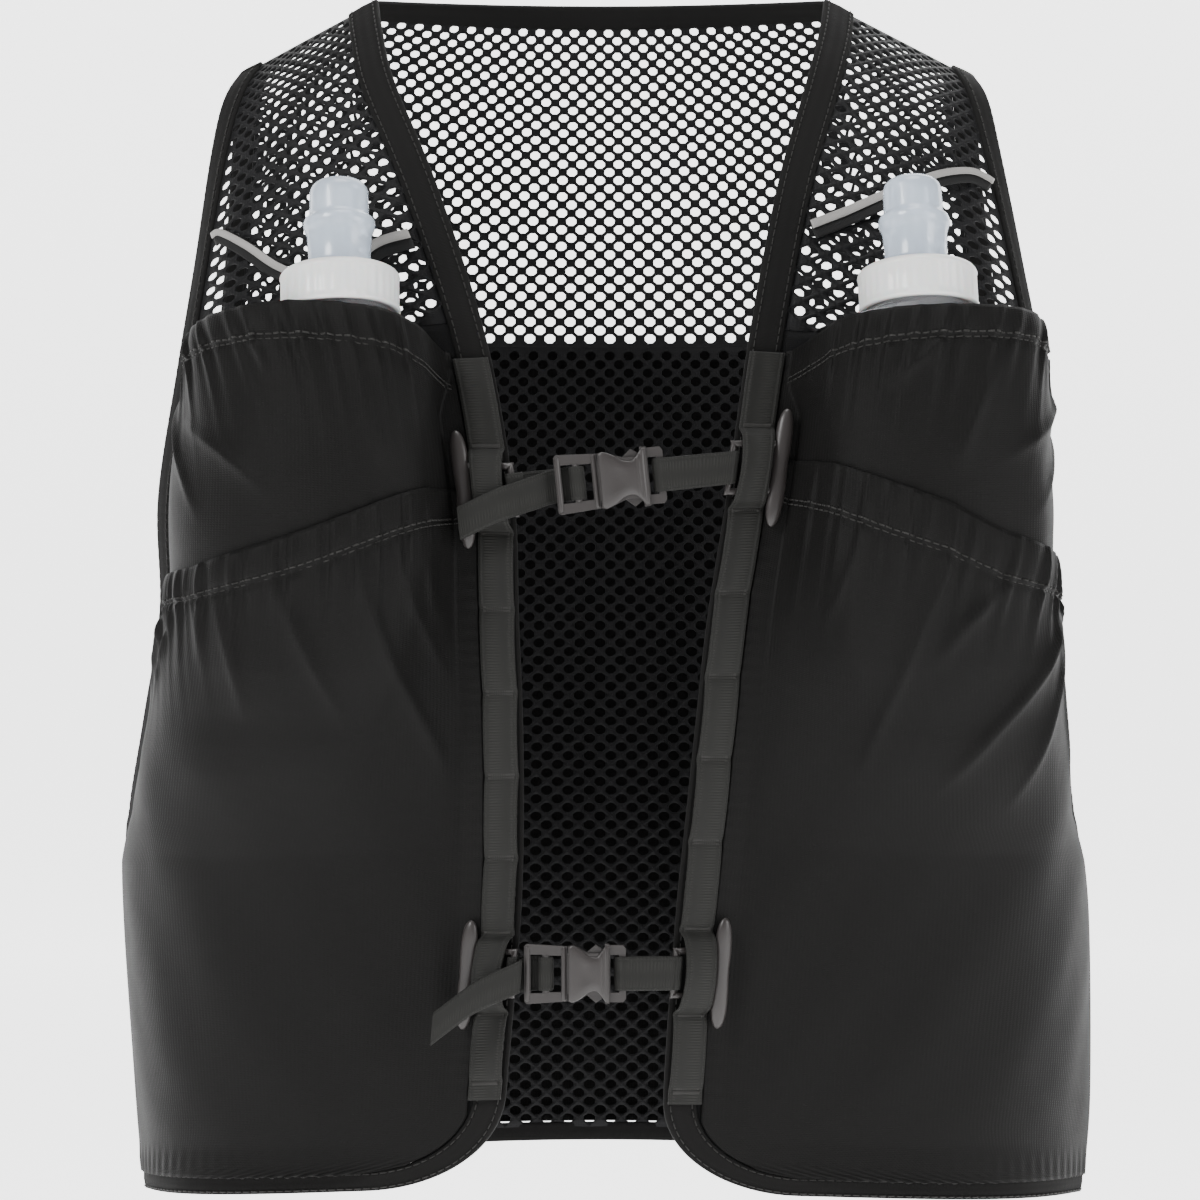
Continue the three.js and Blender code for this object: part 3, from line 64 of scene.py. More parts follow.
for lampName, lampAt, lampSize, lampPower in studio["lamps"]:
    lamp = bpy.data.objects.new(lampName, bpy.data.lights.new(lampName, "AREA"))
    lamp.data.size, lamp.data.energy = lampSize, lampPower
    lamp.location = lampAt
    lamp.rotation_euler = (Vector((0, 0, -0.24)) - Vector(lampAt)).to_track_quat("-Z", "Y").to_euler()
    bpy.context.scene.collection.objects.link(lamp)
world = bpy.data.worlds.new("studio")
bpy.context.scene.world = world
world.use_nodes = True
world.node_tree.nodes["Background"].inputs[0].default_value = (*studio["sky"], 1)
world.node_tree.nodes["Background"].inputs[1].default_value = studio["skyPower"]
print("camera and lamps ready")


# Finishes
def newFinish(name, colour, roughness, weave=None, grain=(900, 0.08), mottle=0.18, sheen=0.0,
              clear=0.0, coat=0.0, ior=1.45, soft=0.0, gloss=0.5):
    mat = bpy.data.materials.new(name)
    mat.use_nodes = True
    nodes, link = mat.node_tree.nodes, mat.node_tree.links.new
    shader = nodes["Principled BSDF"]
    plain = {"Sheen Weight": sheen, "Sheen Roughness": 0.4, "Transmission Weight": clear,
             "Coat Weight": coat, "IOR": ior, "Subsurface Weight": soft, "Subsurface Scale": 0.004,
             "Specular IOR Level": gloss}
    for socket, value in plain.items():
        shader.inputs[socket].default_value = value

    def add(kind, values=None, **settings):
        made = nodes.new("ShaderNode" + kind)
        for key, value in settings.items():
            setattr(made, key, value)
        for socket, value in (values or {}).items():
            made.inputs[socket].default_value = value
        return made

    spot, cloud = add("TexCoord"), add("TexNoise", {"Scale": 55, "Detail": 4})
    link(spot.outputs["Object"], cloud.inputs["Vector"])
    tint = add("Mix", data_type="RGBA", values={
        "A": (*[c * (1 - mottle) for c in colour], 1), "B": (*[min(1, c * (1 + mottle)) for c in colour], 1)})
    link(cloud.outputs["Fac"], tint.inputs["Factor"])
    link(tint.outputs["Result"], shader.inputs["Base Color"])
    wear = add("MapRange", {"To Min": roughness * 0.88, "To Max": min(1, roughness * 1.12)})
    link(cloud.outputs["Fac"], wear.inputs["Value"])
    link(wear.outputs["Result"], shader.inputs["Roughness"])
    fine = add("TexNoise", {"Scale": grain[0], "Detail": 2})
    link(spot.outputs["Object"], fine.inputs["Vector"])
    bump = add("Bump", {"Strength": grain[1], "Distance": 0.0004})
    link(fine.outputs["Fac"], bump.inputs["Height"])
    if weave:  # warp and weft as crossed waves on the cloth's own map, in metres
        cross = add("Math", operation="MULTIPLY")
        for k, (axis, pitch) in enumerate(zip("XY", weave["pitch"])):
            wave = add("TexWave", {"Scale": 0.314 / pitch, "Distortion": weave["slack"]}, bands_direction=axis)
            link(spot.outputs["UV"], wave.inputs["Vector"])
            link(wave.outputs["Fac"], cross.inputs[k])
        raised = add("Bump", {"Strength": weave["depth"], "Distance": 0.0003})
        link(cross.outputs[0], raised.inputs["Height"])
        link(raised.outputs["Normal"], bump.inputs["Normal"])
        # Painted shade: in the hollows between the yarns, where the crossed waves are low, the base colour is
        # darkened by the weave's shade factor.
        shade = add("Mix", data_type="RGBA", blend_type="MULTIPLY", values={"B": (weave["gapShade"],) * 3 + (1,)})
        link(tint.outputs["Result"], shade.inputs["A"])
        turned = add("Math", {0: 1}, operation="SUBTRACT")
        link(cross.outputs[0], turned.inputs[1])
        link(turned.outputs[0], shade.inputs["Factor"])
        link(shade.outputs["Result"], shader.inputs["Base Color"])
    link(bump.outputs["Normal"], shader.inputs["Normal"])
    return mat


# Weaves: yarn pitch in metres, slack, bump depth, and the factor of painted shade in the hollows between the
# yarns.
knit = {"pitch": (0.0009, 0.0007), "slack": 0.6, "depth": 0.35, "gapShade": 0.75}
ribbed = {"pitch": (0.0021, 0.0011), "slack": 0.3, "depth": 0.5, "gapShade": 0.6}
taped = {"pitch": (0.0012, 0.0006), "slack": 0.2, "depth": 0.3, "gapShade": 0.8}
finishes = {look: newFinish(*values, **more) for look, values, more in (
    ("net", ("net_yarn", (0.0055, 0.0055, 0.006), 0.6, knit, (1400, 0.2)), {"sheen": 0.01, "gloss": 0.15}),
    ("binding", ("binding_knit", (0.0062, 0.006, 0.0058), 0.8, taped, (1200, 0.2)),
     {"sheen": 0.012, "gloss": 0.1}),
    ("pocket_cloth", ("pocket_stretch_cloth", (0.0048, 0.0046, 0.0044), 0.58, knit, (1100, 0.25)),
     {"sheen": 0.006, "gloss": 0.09}),
    ("webbing", ("webbing_weave", (0.0125, 0.0125, 0.0112), 0.68, ribbed, (1000, 0.2)),
     {"sheen": 0.015, "gloss": 0.2}),
    ("elastic", ("elastic_knit", (0.006, 0.006, 0.006), 0.7, taped, (1200, 0.2)), {"gloss": 0.25}),
    ("reflective", ("reflective_tape", (0.24, 0.232, 0.222), 0.42, taped, (1500, 0.3)), {"mottle": 0.1}),
    ("buckle_plastic", ("moulded_charcoal", (0.021, 0.0185, 0.018), 0.36, None, (1600, 0.12)),
     {"mottle": 0.06, "gloss": 0.4}),
    ("flask_cap", ("frosted_cap", (0.74, 0.74, 0.73), 0.36, None, (700, 0.05)),
     {"mottle": 0.03, "clear": 0.25, "coat": 0.2, "soft": 0.2}),
    ("bite_valve", ("soft_valve", (0.62, 0.7, 0.8), 0.24, None, (500, 0.04)),
     {"mottle": 0.04, "clear": 0.55, "coat": 0.3, "ior": 1.41}),
    ("flask_film", ("flask_film", (0.8, 0.83, 0.87), 0.16, None, (260, 0.25)),
     {"mottle": 0.05, "clear": 0.8, "coat": 0.4, "ior": 1.4}),
    ("thread", ("sewing_thread", (0.016, 0.0155, 0.0145), 0.6, None, (2500, 0.4)),
     {"sheen": 0.02, "gloss": 0.2}),
    ("lining", ("lining_cloth", (0.006, 0.006, 0.0062), 0.8, knit, (1100, 0.2)),
     {"sheen": 0.005, "gloss": 0.1}),
)}
print("finishes ready")

# Panels: sections from crest to hem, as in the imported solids
size = {
    "height": 470.0, "halfWidth": 195.0, "frontReach": 110.0, "backReach": 104.0, "gap": 0.3,
    "seamGap": 0.8, "netLift": 0.6, "wall": 1.0, "layerGap": 0.9, "armholeRow": 8, "midShare": 0.64,
    "cornerAcross": 53.0, "cornerDown": 37.0, "tipDrop": 16.0,
}
gap = size["gap"]
clothBase = size["netLift"] + size["wall"] + size["layerGap"]
clothLift = size["netLift"] + 0.9
pocketLayer = size["wall"] + gap
frontTable = {
    "left": [
        [-.456, 0, .001, -.739, 0, -.063, 0], [-.443, -.2, -.03, -.768, -.109, -.087, .05],
        [-.414, -.436, -.077, -.787, -.218, -.133, .1], [-.322, -.709, -.17, -.815, -.345, -.228, .17],
        [-.222, -.873, -.3, -.848, -.418, -.319, .22], [-.168, -.973, -.429, -.885, -.455, -.427, .25],
        [-.158, -1, -.528, -.883, -.409, -.52, .26], [-.15, -1.009, -.609, -.922, -.273, -.613, .28],
        [-.148, -1.009, -.691, -.96, -.109, -.699, .3], [-.154, -1, -.773, -.965, -.036, -.786, .3],
        [-.182, -.964, -.913, -.945, -.027, -.932, .3], [-.198, -.945, -.993, -.927, -.027, -1.015, .3],
    ],
    "right": [
        [.46, 0, .001, .77, 0, -.066, 0], [.447, -.2, -.03, .793, -.109, -.087, .05],
        [.416, -.436, -.077, .812, -.218, -.133, .1], [.352, -.709, -.17, .851, -.345, -.228, .17],
        [.292, -.873, -.3, .887, -.418, -.319, .22], [.247, -.973, -.429, .9, -.455, -.427, .25],
        [.209, -1, -.528, .912, -.409, -.52, .26], [.187, -1.009, -.609, .936, -.273, -.613, .28],
        [.166, -1.009, -.691, .966, -.109, -.699, .3], [.146, -1, -.773, .992, -.036, -.786, .3],
        [.123, -.964, -.917, .999, -.027, -.932, .3], [.127, -.945, -.998, .982, -.027, -1.018, .3],
    ],
}
backTable = [
    [.577, .011, .459, .008, .001, 1, .008], [.75, -.064, .497, .346, -.055, .985, .115],
    [.846, -.13, .523, .538, -.125, .975, .25], [.933, -.228, .554, .692, -.226, .965, .385],
    [.971, -.319, .574, .76, -.319, .955, .452], [1, -.427, .59, .798, -.427, .95, .471],
    [1, -.52, .605, .788, -.52, .965, .385], [.99, -.612, .626, .769, -.612, .985, .192],
    [.98, -.697, .641, .76, -.698, 1, -.108], [.971, -.782, .646, .75, -.784, 1, -.03],
    [.962, -.921, .641, .74, -.925, 1, -.02], [.952, -.995, .631, .731, -1.003, 1, -.02],
]
pointScale = [size["halfWidth"], size["frontReach"], size["height"]]
for side in sides:
    frontTable[side] = np.array(frontTable[side]) * (pointScale * 2 + [size["frontReach"]])
backScale = [size["backReach"], size["height"]]
backTable = np.array(backTable) * [*backScale, size["halfWidth"], *backScale, 1, size["backReach"]]


def alongRows(table, v):
    v = np.asarray(v, float)
    last = len(table) - 1
    i = np.clip(np.floor(v).astype(int), 0, last - 1)
    f = (v - i)[..., None]
    p, q, r, s = (table[np.clip(i + k, 0, last)] for k in (-1, 0, 1, 2))
    return q + 0.5 * f * (r - p + f * (2 * p - 5 * q + 4 * r - s + f * (3 * (q - r) + s - p)))


def unit(a):
    return a / np.maximum(np.linalg.norm(a, axis=-1, keepdims=True), 1e-9)


def ease(x, low, high):
    t = np.clip((np.asarray(x, float) - low) / (high - low), 0, 1)
    return t * t * (3 - 2 * t)


def mix(a, b, t):
    return a + (b - a) * t


def routeOf(across, down):
    return np.stack(np.broadcast_arrays(np.asarray(across, float), down), -1)


def hill(x, at, wide):
    return np.exp(-(((x - at) / wide) ** 2))


def ripple(x, pitch):
    return np.sin(math.tau * x / pitch)


class Panel:
    def __init__(self, curve, width, lastRow, turn):
        self.curve, self.width, self.turn = curve, width, turn
        self.rows = np.linspace(0, lastRow, lastRow * 10 + 1)
        middle = curve(np.full(len(self.rows), 0.5), self.rows)
        self.downs = np.concatenate([[0], np.cumsum(np.linalg.norm(np.diff(middle, axis=0), axis=1))])
        self.length = self.downs[-1]
        self.armholeEnd = self.downs[size["armholeRow"] * 10]

    def rowOf(self, down):
        return np.interp(down, self.downs, self.rows)

    def widthAt(self, down):
        return self.width(self.rowOf(down))

    def flat(self, across, down):
        row = self.rowOf(down)
        return self.curve(across / self.width(row), row)

    def normal(self, across, down):
        step = 0.6
        low = np.minimum(down + step, self.length)
        side = self.flat(across + step, down) - self.flat(across - step, down)
        fall = self.flat(across, low) - self.flat(across, low - 2 * step)
        return unit(np.cross(side, fall) * self.turn)

    def place(self, across, down, lift=0.0):
        across, down, lift = np.broadcast_arrays(np.asarray(across, float), down, lift)
        return self.flat(across, down) + self.normal(across, down) * lift[..., None]

    def downAt(self, share, height):
        share, height = np.broadcast_arrays(np.asarray(share, float), height)
        low, high = np.zeros(share.shape), np.full(share.shape, self.length)
        for _ in range(26):
            middle = (low + high) / 2
            below = self.flat(share * self.widthAt(middle), middle)[..., 2] > height * size["height"]
            low, high = np.where(below, middle, low), np.where(below, high, middle)
        return (low + high) / 2


def frontPanel(side):
    table = frontTable[side]

    def curve(share, v):
        row = alongRows(table, v)
        inner, outer, bow = row[..., 0:3], row[..., 3:6], row[..., 6:7]
        chord = outer - inner
        out = unit(np.stack([chord[..., 1], -chord[..., 0], 0 * chord[..., 0]], -1))
        out = np.where(out[..., 1:2] > 0, -out, out)
        share = np.asarray(share, float)[..., None]
        return inner + chord * share + out * bow * np.sin(math.pi * np.clip(share, 0, 1) ** 1.5)

    def width(v):
        row = alongRows(table, v)
        return np.linalg.norm(row[..., 3:6] - row[..., 0:3], axis=-1) + 8 * row[..., 6] / size["frontReach"]

    return Panel(curve, width, len(table) - 1, 1 if side == "left" else -1)


def backPanel():
    def edge(sign, v):
        row = alongRows(backTable, v)
        outer = [alongRows(frontTable[side], v)[..., 3:6] for side in sides]
        front = np.where(np.asarray(sign)[..., None] < 0, outer[0], outer[1])
        joined = v >= size["armholeRow"]
        x = np.where(joined, front[..., 0], front[..., 0] * row[..., 5])
        y = np.where(joined, front[..., 1] + size["seamGap"], np.where(v <= 0, size["seamGap"], row[..., 6]))
        return np.stack([x, y, front[..., 2]], -1)

    def middle(sign, v):
        row = alongRows(backTable, v)
        return np.stack([row[..., 2] * sign, row[..., 3], row[..., 4]], -1)

    def curve(share, v):
        share, v = np.broadcast_arrays(np.asarray(share, float), v)
        sign = np.where(share < 0, -1.0, 1.0)
        away = np.abs(share)[..., None]
        mid, row = middle(sign, v), alongRows(backTable, v)
        centre = np.stack([0 * share, row[..., 0], row[..., 1]], -1)
        f = away / size["midShare"]
        near = centre + (mid - centre) * np.concatenate([f, f * f, f * f], -1)
        far = mix(mid, edge(sign, v), (away - size["midShare"]) / (1 - size["midShare"]))
        return np.where(away > size["midShare"], far, near)

    def width(v):
        row, mid = alongRows(backTable, v), middle(1.0, v)
        half = np.hypot(mid[..., 0], mid[..., 1] - row[..., 0])
        return half + np.linalg.norm(mid - edge(np.ones_like(np.asarray(v, float)), v), axis=-1)

    return Panel(curve, width, len(backTable) - 1, 1)


fronts = {side: frontPanel(side) for side in sides}
back = backPanel()
bindingWide, armholeWide, hemWide, tapeWide, bindingThick = 13.5, 10.0, 8.0, 11.0, 3.0
tuck = 2.0  # cloth sewn into a binding


def clothStart(panel, down):
    turnDown, inset = panel.length - size["cornerDown"], bindingWide + gap
    fall = np.clip((down - turnDown) / (size["cornerDown"] - hemWide - gap), 0, 1)
    return size["cornerAcross"] - (size["cornerAcross"] - inset) * np.sqrt(1 - fall * fall)


def besideArmhole(panel, down):
    return 1 - np.clip((down - panel.armholeEnd + 3) / (size["tipDrop"] + 3), 0, 1)


def clothEnd(panel, down):
    return panel.widthAt(down) - gap - armholeWide * besideArmhole(panel, down)


def wander(x, *waves):
    return sum(a * np.sin(math.tau * x / w + p + 1.1 * np.sin(x / (2.7 * w) + p)) for a, w, p in waves)


# Meshes
def shownPiece(name, bm, look, slot=None, nodes=(), body=vestBody, wall=0.0, bevel=0.0):
    mesh = bpy.data.meshes.new(name)
    bm.to_mesh(mesh)
    bm.free()
    mesh.shade_smooth()
    piece = bpy.data.objects.new(name, mesh)
    bpy.context.scene.collection.objects.link(piece)
    mesh.materials.append(finishes[look])
    if wall:
        solid = piece.modifiers.new("wall", "SOLIDIFY")
        solid.thickness, solid.offset = wall * 0.001, -1
    if bevel:
        mesh.set_sharp_from_angle(angle=math.radians(35))
        rounded = piece.modifiers.new("edges", "BEVEL")
        rounded.width, rounded.segments, rounded.limit_method = bevel * 0.001, 2, "ANGLE"
        rounded.angle_limit = math.radians(35)
    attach(piece, body)
    slot or look
    if nodes:
        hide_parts(*nodes)
    return piece


def mapGrid(bm, across, along, place, span, cut=None, flip=False, closed=False):
    fresh = bmesh.ops.create_grid(bm, x_segments=across, y_segments=along, size=0.5)["verts"]
    for v in fresh:
        v.co = ((v.co.x + 0.5) * span[0], (v.co.y + 0.5) * span[1], 0)
    if cut:
        cut(bm)
        fresh = bm.verts[:]
    chart = bm.loops.layers.uv.verify()
    for v in fresh:
        for loop in v.link_loops:
            loop[chart].uv = (v.co.x * 0.001, v.co.y * 0.001)
    flat = np.array([v.co[:2] for v in fresh]) / span
    for v, spot in zip(fresh, place(flat[:, 0], flat[:, 1]) * 0.001):
        v.co = spot
    if closed:
        bmesh.ops.remove_doubles(bm, verts=fresh, dist=2e-6)
        fresh = [v for v in fresh if v.is_valid]
        rim = list({e for v in fresh for e in v.link_edges if e.is_boundary})
        if rim:
            bmesh.ops.holes_fill(bm, edges=rim, sides=0)
        bmesh.ops.recalc_face_normals(bm, faces=list({f for v in fresh for f in v.link_faces}))
    elif flip:
        bmesh.ops.reverse_faces(bm, faces=list({f for v in fresh for f in v.link_faces}))


def sheetPiece(name, across, along, place, span, look, slot=None, nodes=(), wall=1.0, cut=None, flip=False):
    bm = bmesh.new()
    mapGrid(bm, across, along, place, span, cut, flip)
    return shownPiece(name, bm, look, slot, nodes, wall=wall)


netPattern = {"across": 7.4, "down": 7.3, "yarn": 0.65, "corner": 1.12}


def cutNet(bm):
    old = [e for e in bm.edges if not e.is_boundary]
    bmesh.ops.poke(bm, faces=bm.faces[:])
    bmesh.ops.dissolve_edges(bm, edges=old, use_verts=False)
    diamonds = [f for f in bm.faces if len(f.verts) == 4]
    bmesh.ops.inset_individual(bm, faces=diamonds, thickness=netPattern["yarn"], use_even_offset=True)
    corners = list({v for f in diamonds for v in f.verts})
    bmesh.ops.bevel(bm, geom=corners, offset=netPattern["corner"], affect="VERTICES", segments=1,
                    profile=0.5, material=-1)
    holes = [f for f in bm.faces if len(f.verts) == 8]
    bmesh.ops.delete(bm, geom=holes, context="FACES")


def netPiece(name, place, span, **options):
    across, down = (max(2, round(s / netPattern[k])) for s, k in zip(span, ("across", "down")))
    return sheetPiece(name, across, down, place, span, "net", wall=0.75, cut=cutNet, **options)


# A ribbon runs through stations of (outer edge, inner edge, up, thickness)
def ribbon(bm, outer, inner, up, thick, relief=None, ring=False, around=20, step=2.0, square=(0.35, 0.6)):
    n = len(outer)
    thick = np.broadcast_to(np.asarray(thick, float), (n,))[:, None]
    table = np.concatenate([outer, inner, up, thick], 1)
    if ring:
        table = np.concatenate([table[-1:], table, table[:2]])
    middle = (table[:, :3] + table[:, 3:6]) / 2
    run = np.concatenate([[0], np.cumsum(np.linalg.norm(np.diff(middle, axis=0), axis=1))])
    low, high = (run[1], run[-2]) if ring else (run[0], run[-1])
    length = high - low
    wide = float(np.linalg.norm(outer - inner, axis=1).mean())
    along = max(4, int(length / step))

    def place(u, v):
        row = alongRows(table, np.interp(low + v * length, run, np.arange(len(run))))
        angle = math.tau * u
        c, s = np.cos(angle), np.sin(angle)
        t = 0.5 - 0.5 * np.sign(c) * np.abs(c) ** square[0]
        h = 0.5 + 0.5 * np.sign(s) * np.abs(s) ** square[1]
        lift = h * row[:, 9]
        if relief:
            lift = lift + relief(t * wide, v * length, wide, length) * np.clip(s, 0, 1) ** 0.5
        return mix(row[:, 0:3], row[:, 3:6], t[:, None]) + unit(row[:, 6:9]) * lift[:, None]

    mapGrid(bm, around, along, place, (2 * wide, length), closed=True)


def onPanel(panel, outer, inner, base=0.0):
    return (*(panel.place(*line.T, base) for line in (outer, inner)), panel.normal(*((outer + inner) / 2).T))


def ribbonPiece(name, edges, thick, look, nodes=(), **options):
    bm = bmesh.new()
    ribbon(bm, *edges, thick, **options)
    shownPiece(name, bm, look, nodes=nodes)


# Rows of stitches: dashes of a narrow strip that follows a line on a panel
stitching = {"length": 2.6, "space": 0.9, "wide": 0.55, "lift": 0.12}


def stitchRow(bm, panel, line, lift):
    line = np.asarray(line, float)
    flat = panel.place(line[:, 0], line[:, 1])
    run = np.concatenate([[0], np.cumsum(np.linalg.norm(np.diff(flat, axis=0), axis=1))])
    pitch = stitching["length"] + stitching["space"]
    count = max(2, int(run[-1] / pitch))

    def place(u, v):
        s = v * run[-1]
        (across, down), ahead, behind = (
            [np.interp(np.clip(s + shift, 0, run[-1]), run, line[:, k]) for k in (0, 1)]
            for shift in (0, 1, -1))
        turn = unit(np.stack([ahead[1] - behind[1], behind[0] - ahead[0]], -1))
        off = (u - 0.5) * stitching["wide"]
        crown = 0.35 * (1 - (2 * u - 1) ** 2)
        inCell = (v * count * 4) % 4
        crown = crown * np.where((inCell < 0.5) | (inCell > 2.5), 0.3, 1)
        return panel.place(across + turn[:, 0] * off, down + turn[:, 1] * off,
                           lift + stitching["lift"] + crown)

    def cutDashes(fresh):
        spaces = [f for f in fresh.faces if int(f.calc_center_median().y / run[-1] * count * 4) % 4 == 3]
        bmesh.ops.delete(fresh, geom=spaces, context="FACES")

    part = bmesh.new()
    mapGrid(part, 2, max(8, count * 4), place, (stitching["wide"], run[-1]), cutDashes, panel.turn < 0)
    scrap = bpy.data.meshes.new("scrap")
    part.to_mesh(scrap)
    part.free()
    bm.from_mesh(scrap)
    bpy.data.meshes.remove(scrap)


def stitchPiece(name, rows, slot):  # rows of (surface, line, lift)
    seams = bmesh.new()
    for row in rows:
        stitchRow(seams, *row)
    shownPiece(name, seams, "thread", slot, wall=0.3)


class Draped:  # a made surface as a panel: a and b in millimetres over its span
    def __init__(self, shape, span, turn):
        self.shape, self.span, self.turn = shape, span, turn

    def place(self, a, b, lift=0.0):
        def at(x, y):
            return self.shape(np.clip(x / self.span[0], 0, 1), np.clip(y / self.span[1], 0, 1))
        spot = at(a, b)
        if np.any(lift):
            up = unit(np.cross(at(a + 0.5, b) - at(a - 0.5, b), at(a, b + 0.5) - at(a, b - 0.5)) * self.turn)
            spot = spot + up * np.asarray(lift)[..., None]
        return spot


# Back: nets, neck tape, pocket, hem
backLook = {"pocketTop": -0.285, "pocketReach": 0.58, "pocketDepth": 13.0, "netReach": 0.575,
            "folds": [(-4.0, 7.0, 2.2), (38.0, 8.0, 2.6), (-48.0, 9.0, 1.4)], "casing": 12.0,
            "neckMap": 300.0, "halfMap": 158.0, "sideMap": (60.0, 330.0), "pocketMap": (190.0, 330.0)}
backNetEnd = float(back.downAt(0.0, backLook["pocketTop"]))


def backClothReach(down):
    return back.widthAt(down) - gap - armholeWide * besideArmhole(back, down)


def backAcross(share, down):
    width, away, mid = back.widthAt(down), np.abs(share), size["midShare"]
    past = (away - mid) / (1 - mid)
    return np.where(away <= mid, share * width, np.sign(share) * mix(mid * width, backClothReach(down), past))


def backSoftFolds(across, down):
    fade = ease(down, backNetEnd, backNetEnd + 60)
    return -fade * sum(h * hill(across, x, w) for x, w, h in backLook["folds"])


def backUpper(u, v):
    share = 2 * u - 1
    top = np.interp(np.abs(share), [0.645, 0.66], [tapeWide - tuck, gap])
    down = mix(top, backNetEnd, v)
    return back.place(backAcross(share, down), down, clothLift)


def backLower(u, v):
    down = mix(backNetEnd, back.length - hemWide + tuck, v)
    across = (2 * u - 1) * backLook["netReach"] * back.widthAt(down)
    return back.place(across, down, clothLift + backSoftFolds(across, down))


def backSide(sign):
    def place(u, v):
        down = mix(backNetEnd, back.length - hemWide + tuck, v)
        share = mix(backLook["netReach"], 1.0, u)
        across = np.abs(backAcross(share, down)) + 1.2 * ease(u, 0.9, 1)
        return back.place(sign * across, down, clothLift)
    return place


netPiece("back_neck_net", backUpper, (backLook["neckMap"], backNetEnd - tapeWide), nodes=["back_mesh_panel"])
netPiece("back_body_net", backLower, (2 * backLook["netReach"] * backLook["halfMap"],
                                      back.length - backNetEnd - hemWide))
for side, sign in zip(sides, (-1, 1)):
    sheetPiece(f"{side}_back_side_cloth", 24, 80, backSide(sign), backLook["sideMap"], "lining", "net",
               flip=sign < 0)


def backPocketPlace(u, v):
    top, bottom = backNetEnd, back.length - hemWide - gap
    down = mix(top, bottom, v)
    x = 2 * u - 1
    across = x * backLook["pocketReach"] * back.widthAt(down)
    swell = (1 - x * x) * np.sqrt(np.clip(np.sin(math.pi * (0.12 + 0.88 * v)), 0, 1))
    below = down - top
    gather = wander(across, (0.5, 6.3, 0.2), (0.3, 3.9, 1.7)) + 0.5
    casing = 0.8 * np.sin(math.pi * np.clip(below / backLook["casing"], 0, 1))
    fade = np.where(below < backLook["casing"], 1, np.exp(-(below - backLook["casing"]) / 22)) * (1 - x ** 4)
    drape = 0.8 * (1 - x * x) * (1 + wander(across + 0.15 * below, (0.6, 47, 0.4), (0.5, 83, 2.1)))
    return back.place(across, down, clothBase + size["wall"] + backLook["pocketDepth"] * swell
                      + (gather * fade + casing) * ease(1 - np.abs(x), 0, 0.05) + drape)


def backTape(name, node, reach, steps, downs, less=0.0):
    share = np.linspace(-reach, reach, steps)
    edges = onPanel(back, *(routeOf(share * (back.widthAt(at) - less), at) for at in downs))
    ribbonPiece(name, edges, bindingThick, "binding", [node],
                relief=lambda x, s, w, n: -0.25 * hill(x, w - 1.6, 0.5))


sheetPiece("back_pocket", 120, 120, backPocketPlace, backLook["pocketMap"], "pocket_cloth",
           nodes=["back_pocket_panel"])
backTape("neck_tape", "neck_binding", 0.643, 61, (gap, tapeWide))
backTape("back_hem", "back_hem_binding", 1, 81, (back.length, back.length - hemWide), gap)


def hipPlace(side):
    sign, depth = (-1, 9.0) if side == "left" else (1, 4.5)

    def place(u, v):
        top, bottom = back.armholeEnd + size["tipDrop"] + 3, back.length - hemWide - gap
        down = mix(top, bottom, v)
        width = back.widthAt(down)
        start = size["midShare"] * width + 2
        swell = np.clip(np.sin(math.pi * np.minimum(1, 0.12 + 0.88 * u)), 0, 1) ** 0.6
        swell = swell * np.clip(np.sin(math.pi * (0.2 + 0.8 * v)), 0, 1) ** 0.5
        gather = (0.35 + wander((width - start) * u, (0.35, 4.7, 0.3))) * np.exp(-(down - top) / 14)
        across = sign * mix(start, width - gap, u)
        edge = ease(u, 0, 0.1) * ease(1 - u, 0, 0.1)
        return back.place(across, down, clothBase + gap + size["wall"] + depth * swell + gather * edge)
    return place


for side in sides:
    sheetPiece(f"{side}_hip_pouch", 40, 70, hipPlace(side), (60.0, 130.0), "pocket_cloth",
               nodes=[f"{side}_hip_pocket"], flip=side == "left")
print("back ready")

# Pockets
pocketTops = {
    "left": {
        "bottle": [[0, -.318], [.14, -.308], [.27, -.298], [.49, -.293], [.68, -.292], [.86, -.297],
                   [1, -.312]],
        "lower": [[0, -.414], [.16, -.422], [.31, -.437], [.49, -.458], [.71, -.481], [.89, -.490],
                  [1, -.494]],
    },
    "right": {
        "bottle": [[0, -.313], [.13, -.308], [.24, -.302], [.44, -.298], [.64, -.295], [.86, -.294],
                   [1, -.296]],
        "lower": [[0, -.378], [.17, -.398], [.32, -.415], [.52, -.437], [.62, -.455], [.78, -.472],
                  [1, -.494]],
    },
}
# Folds: from and to as (across, height), half width and rise
folds = {
    "left": {
        "bottle": [[.95, -.332, .68, -.450, 5, 1.8], [.73, -.380, .52, -.440, 5, 1.4],
                   [.33, -.360, .30, -.425, 5, 1.2], [.60, -.310, .55, -.345, 3, .9],
                   [.20, -.33, .17, -.40, 3, .9]],
        "lower": [[.85, -.520, .91, -.610, 4, 2.4], [.62, -.512, .56, -.600, 5, 1.8],
                  [.51, -.500, .37, -.610, 5, 2.0], [.37, -.480, .14, -.666, 6, 2.6],
                  [.23, -.465, .15, -.550, 5, 1.8], [.78, -.515, .84, -.60, 3, 1.2],
                  [.70, -.505, .66, -.56, 3, 1.0], [.30, -.46, .12, -.60, 3, 1.2]],
    },
    "right": {
        "bottle": [[.60, -.335, .54, -.425, 5, 1.6], [.93, -.330, .60, -.410, 5, 1.8],
                   [.97, -.335, .66, -.455, 4, 1.2], [.48, -.325, .40, -.36, 4, 1.4],
                   [.25, -.33, .22, -.38, 3, .9]],
        "lower": [[.51, -.484, .34, -.660, 5, 2.0], [.61, -.497, .50, -.560, 5, 1.6],
                  [.81, -.520, .47, -.660, 6, 2.8], [.84, -.535, .60, -.675, 5, 1.8],
                  [.35, -.45, .28, -.53, 3, 1.1], [.90, -.53, .80, -.66, 4, 1.2]],
    },
}
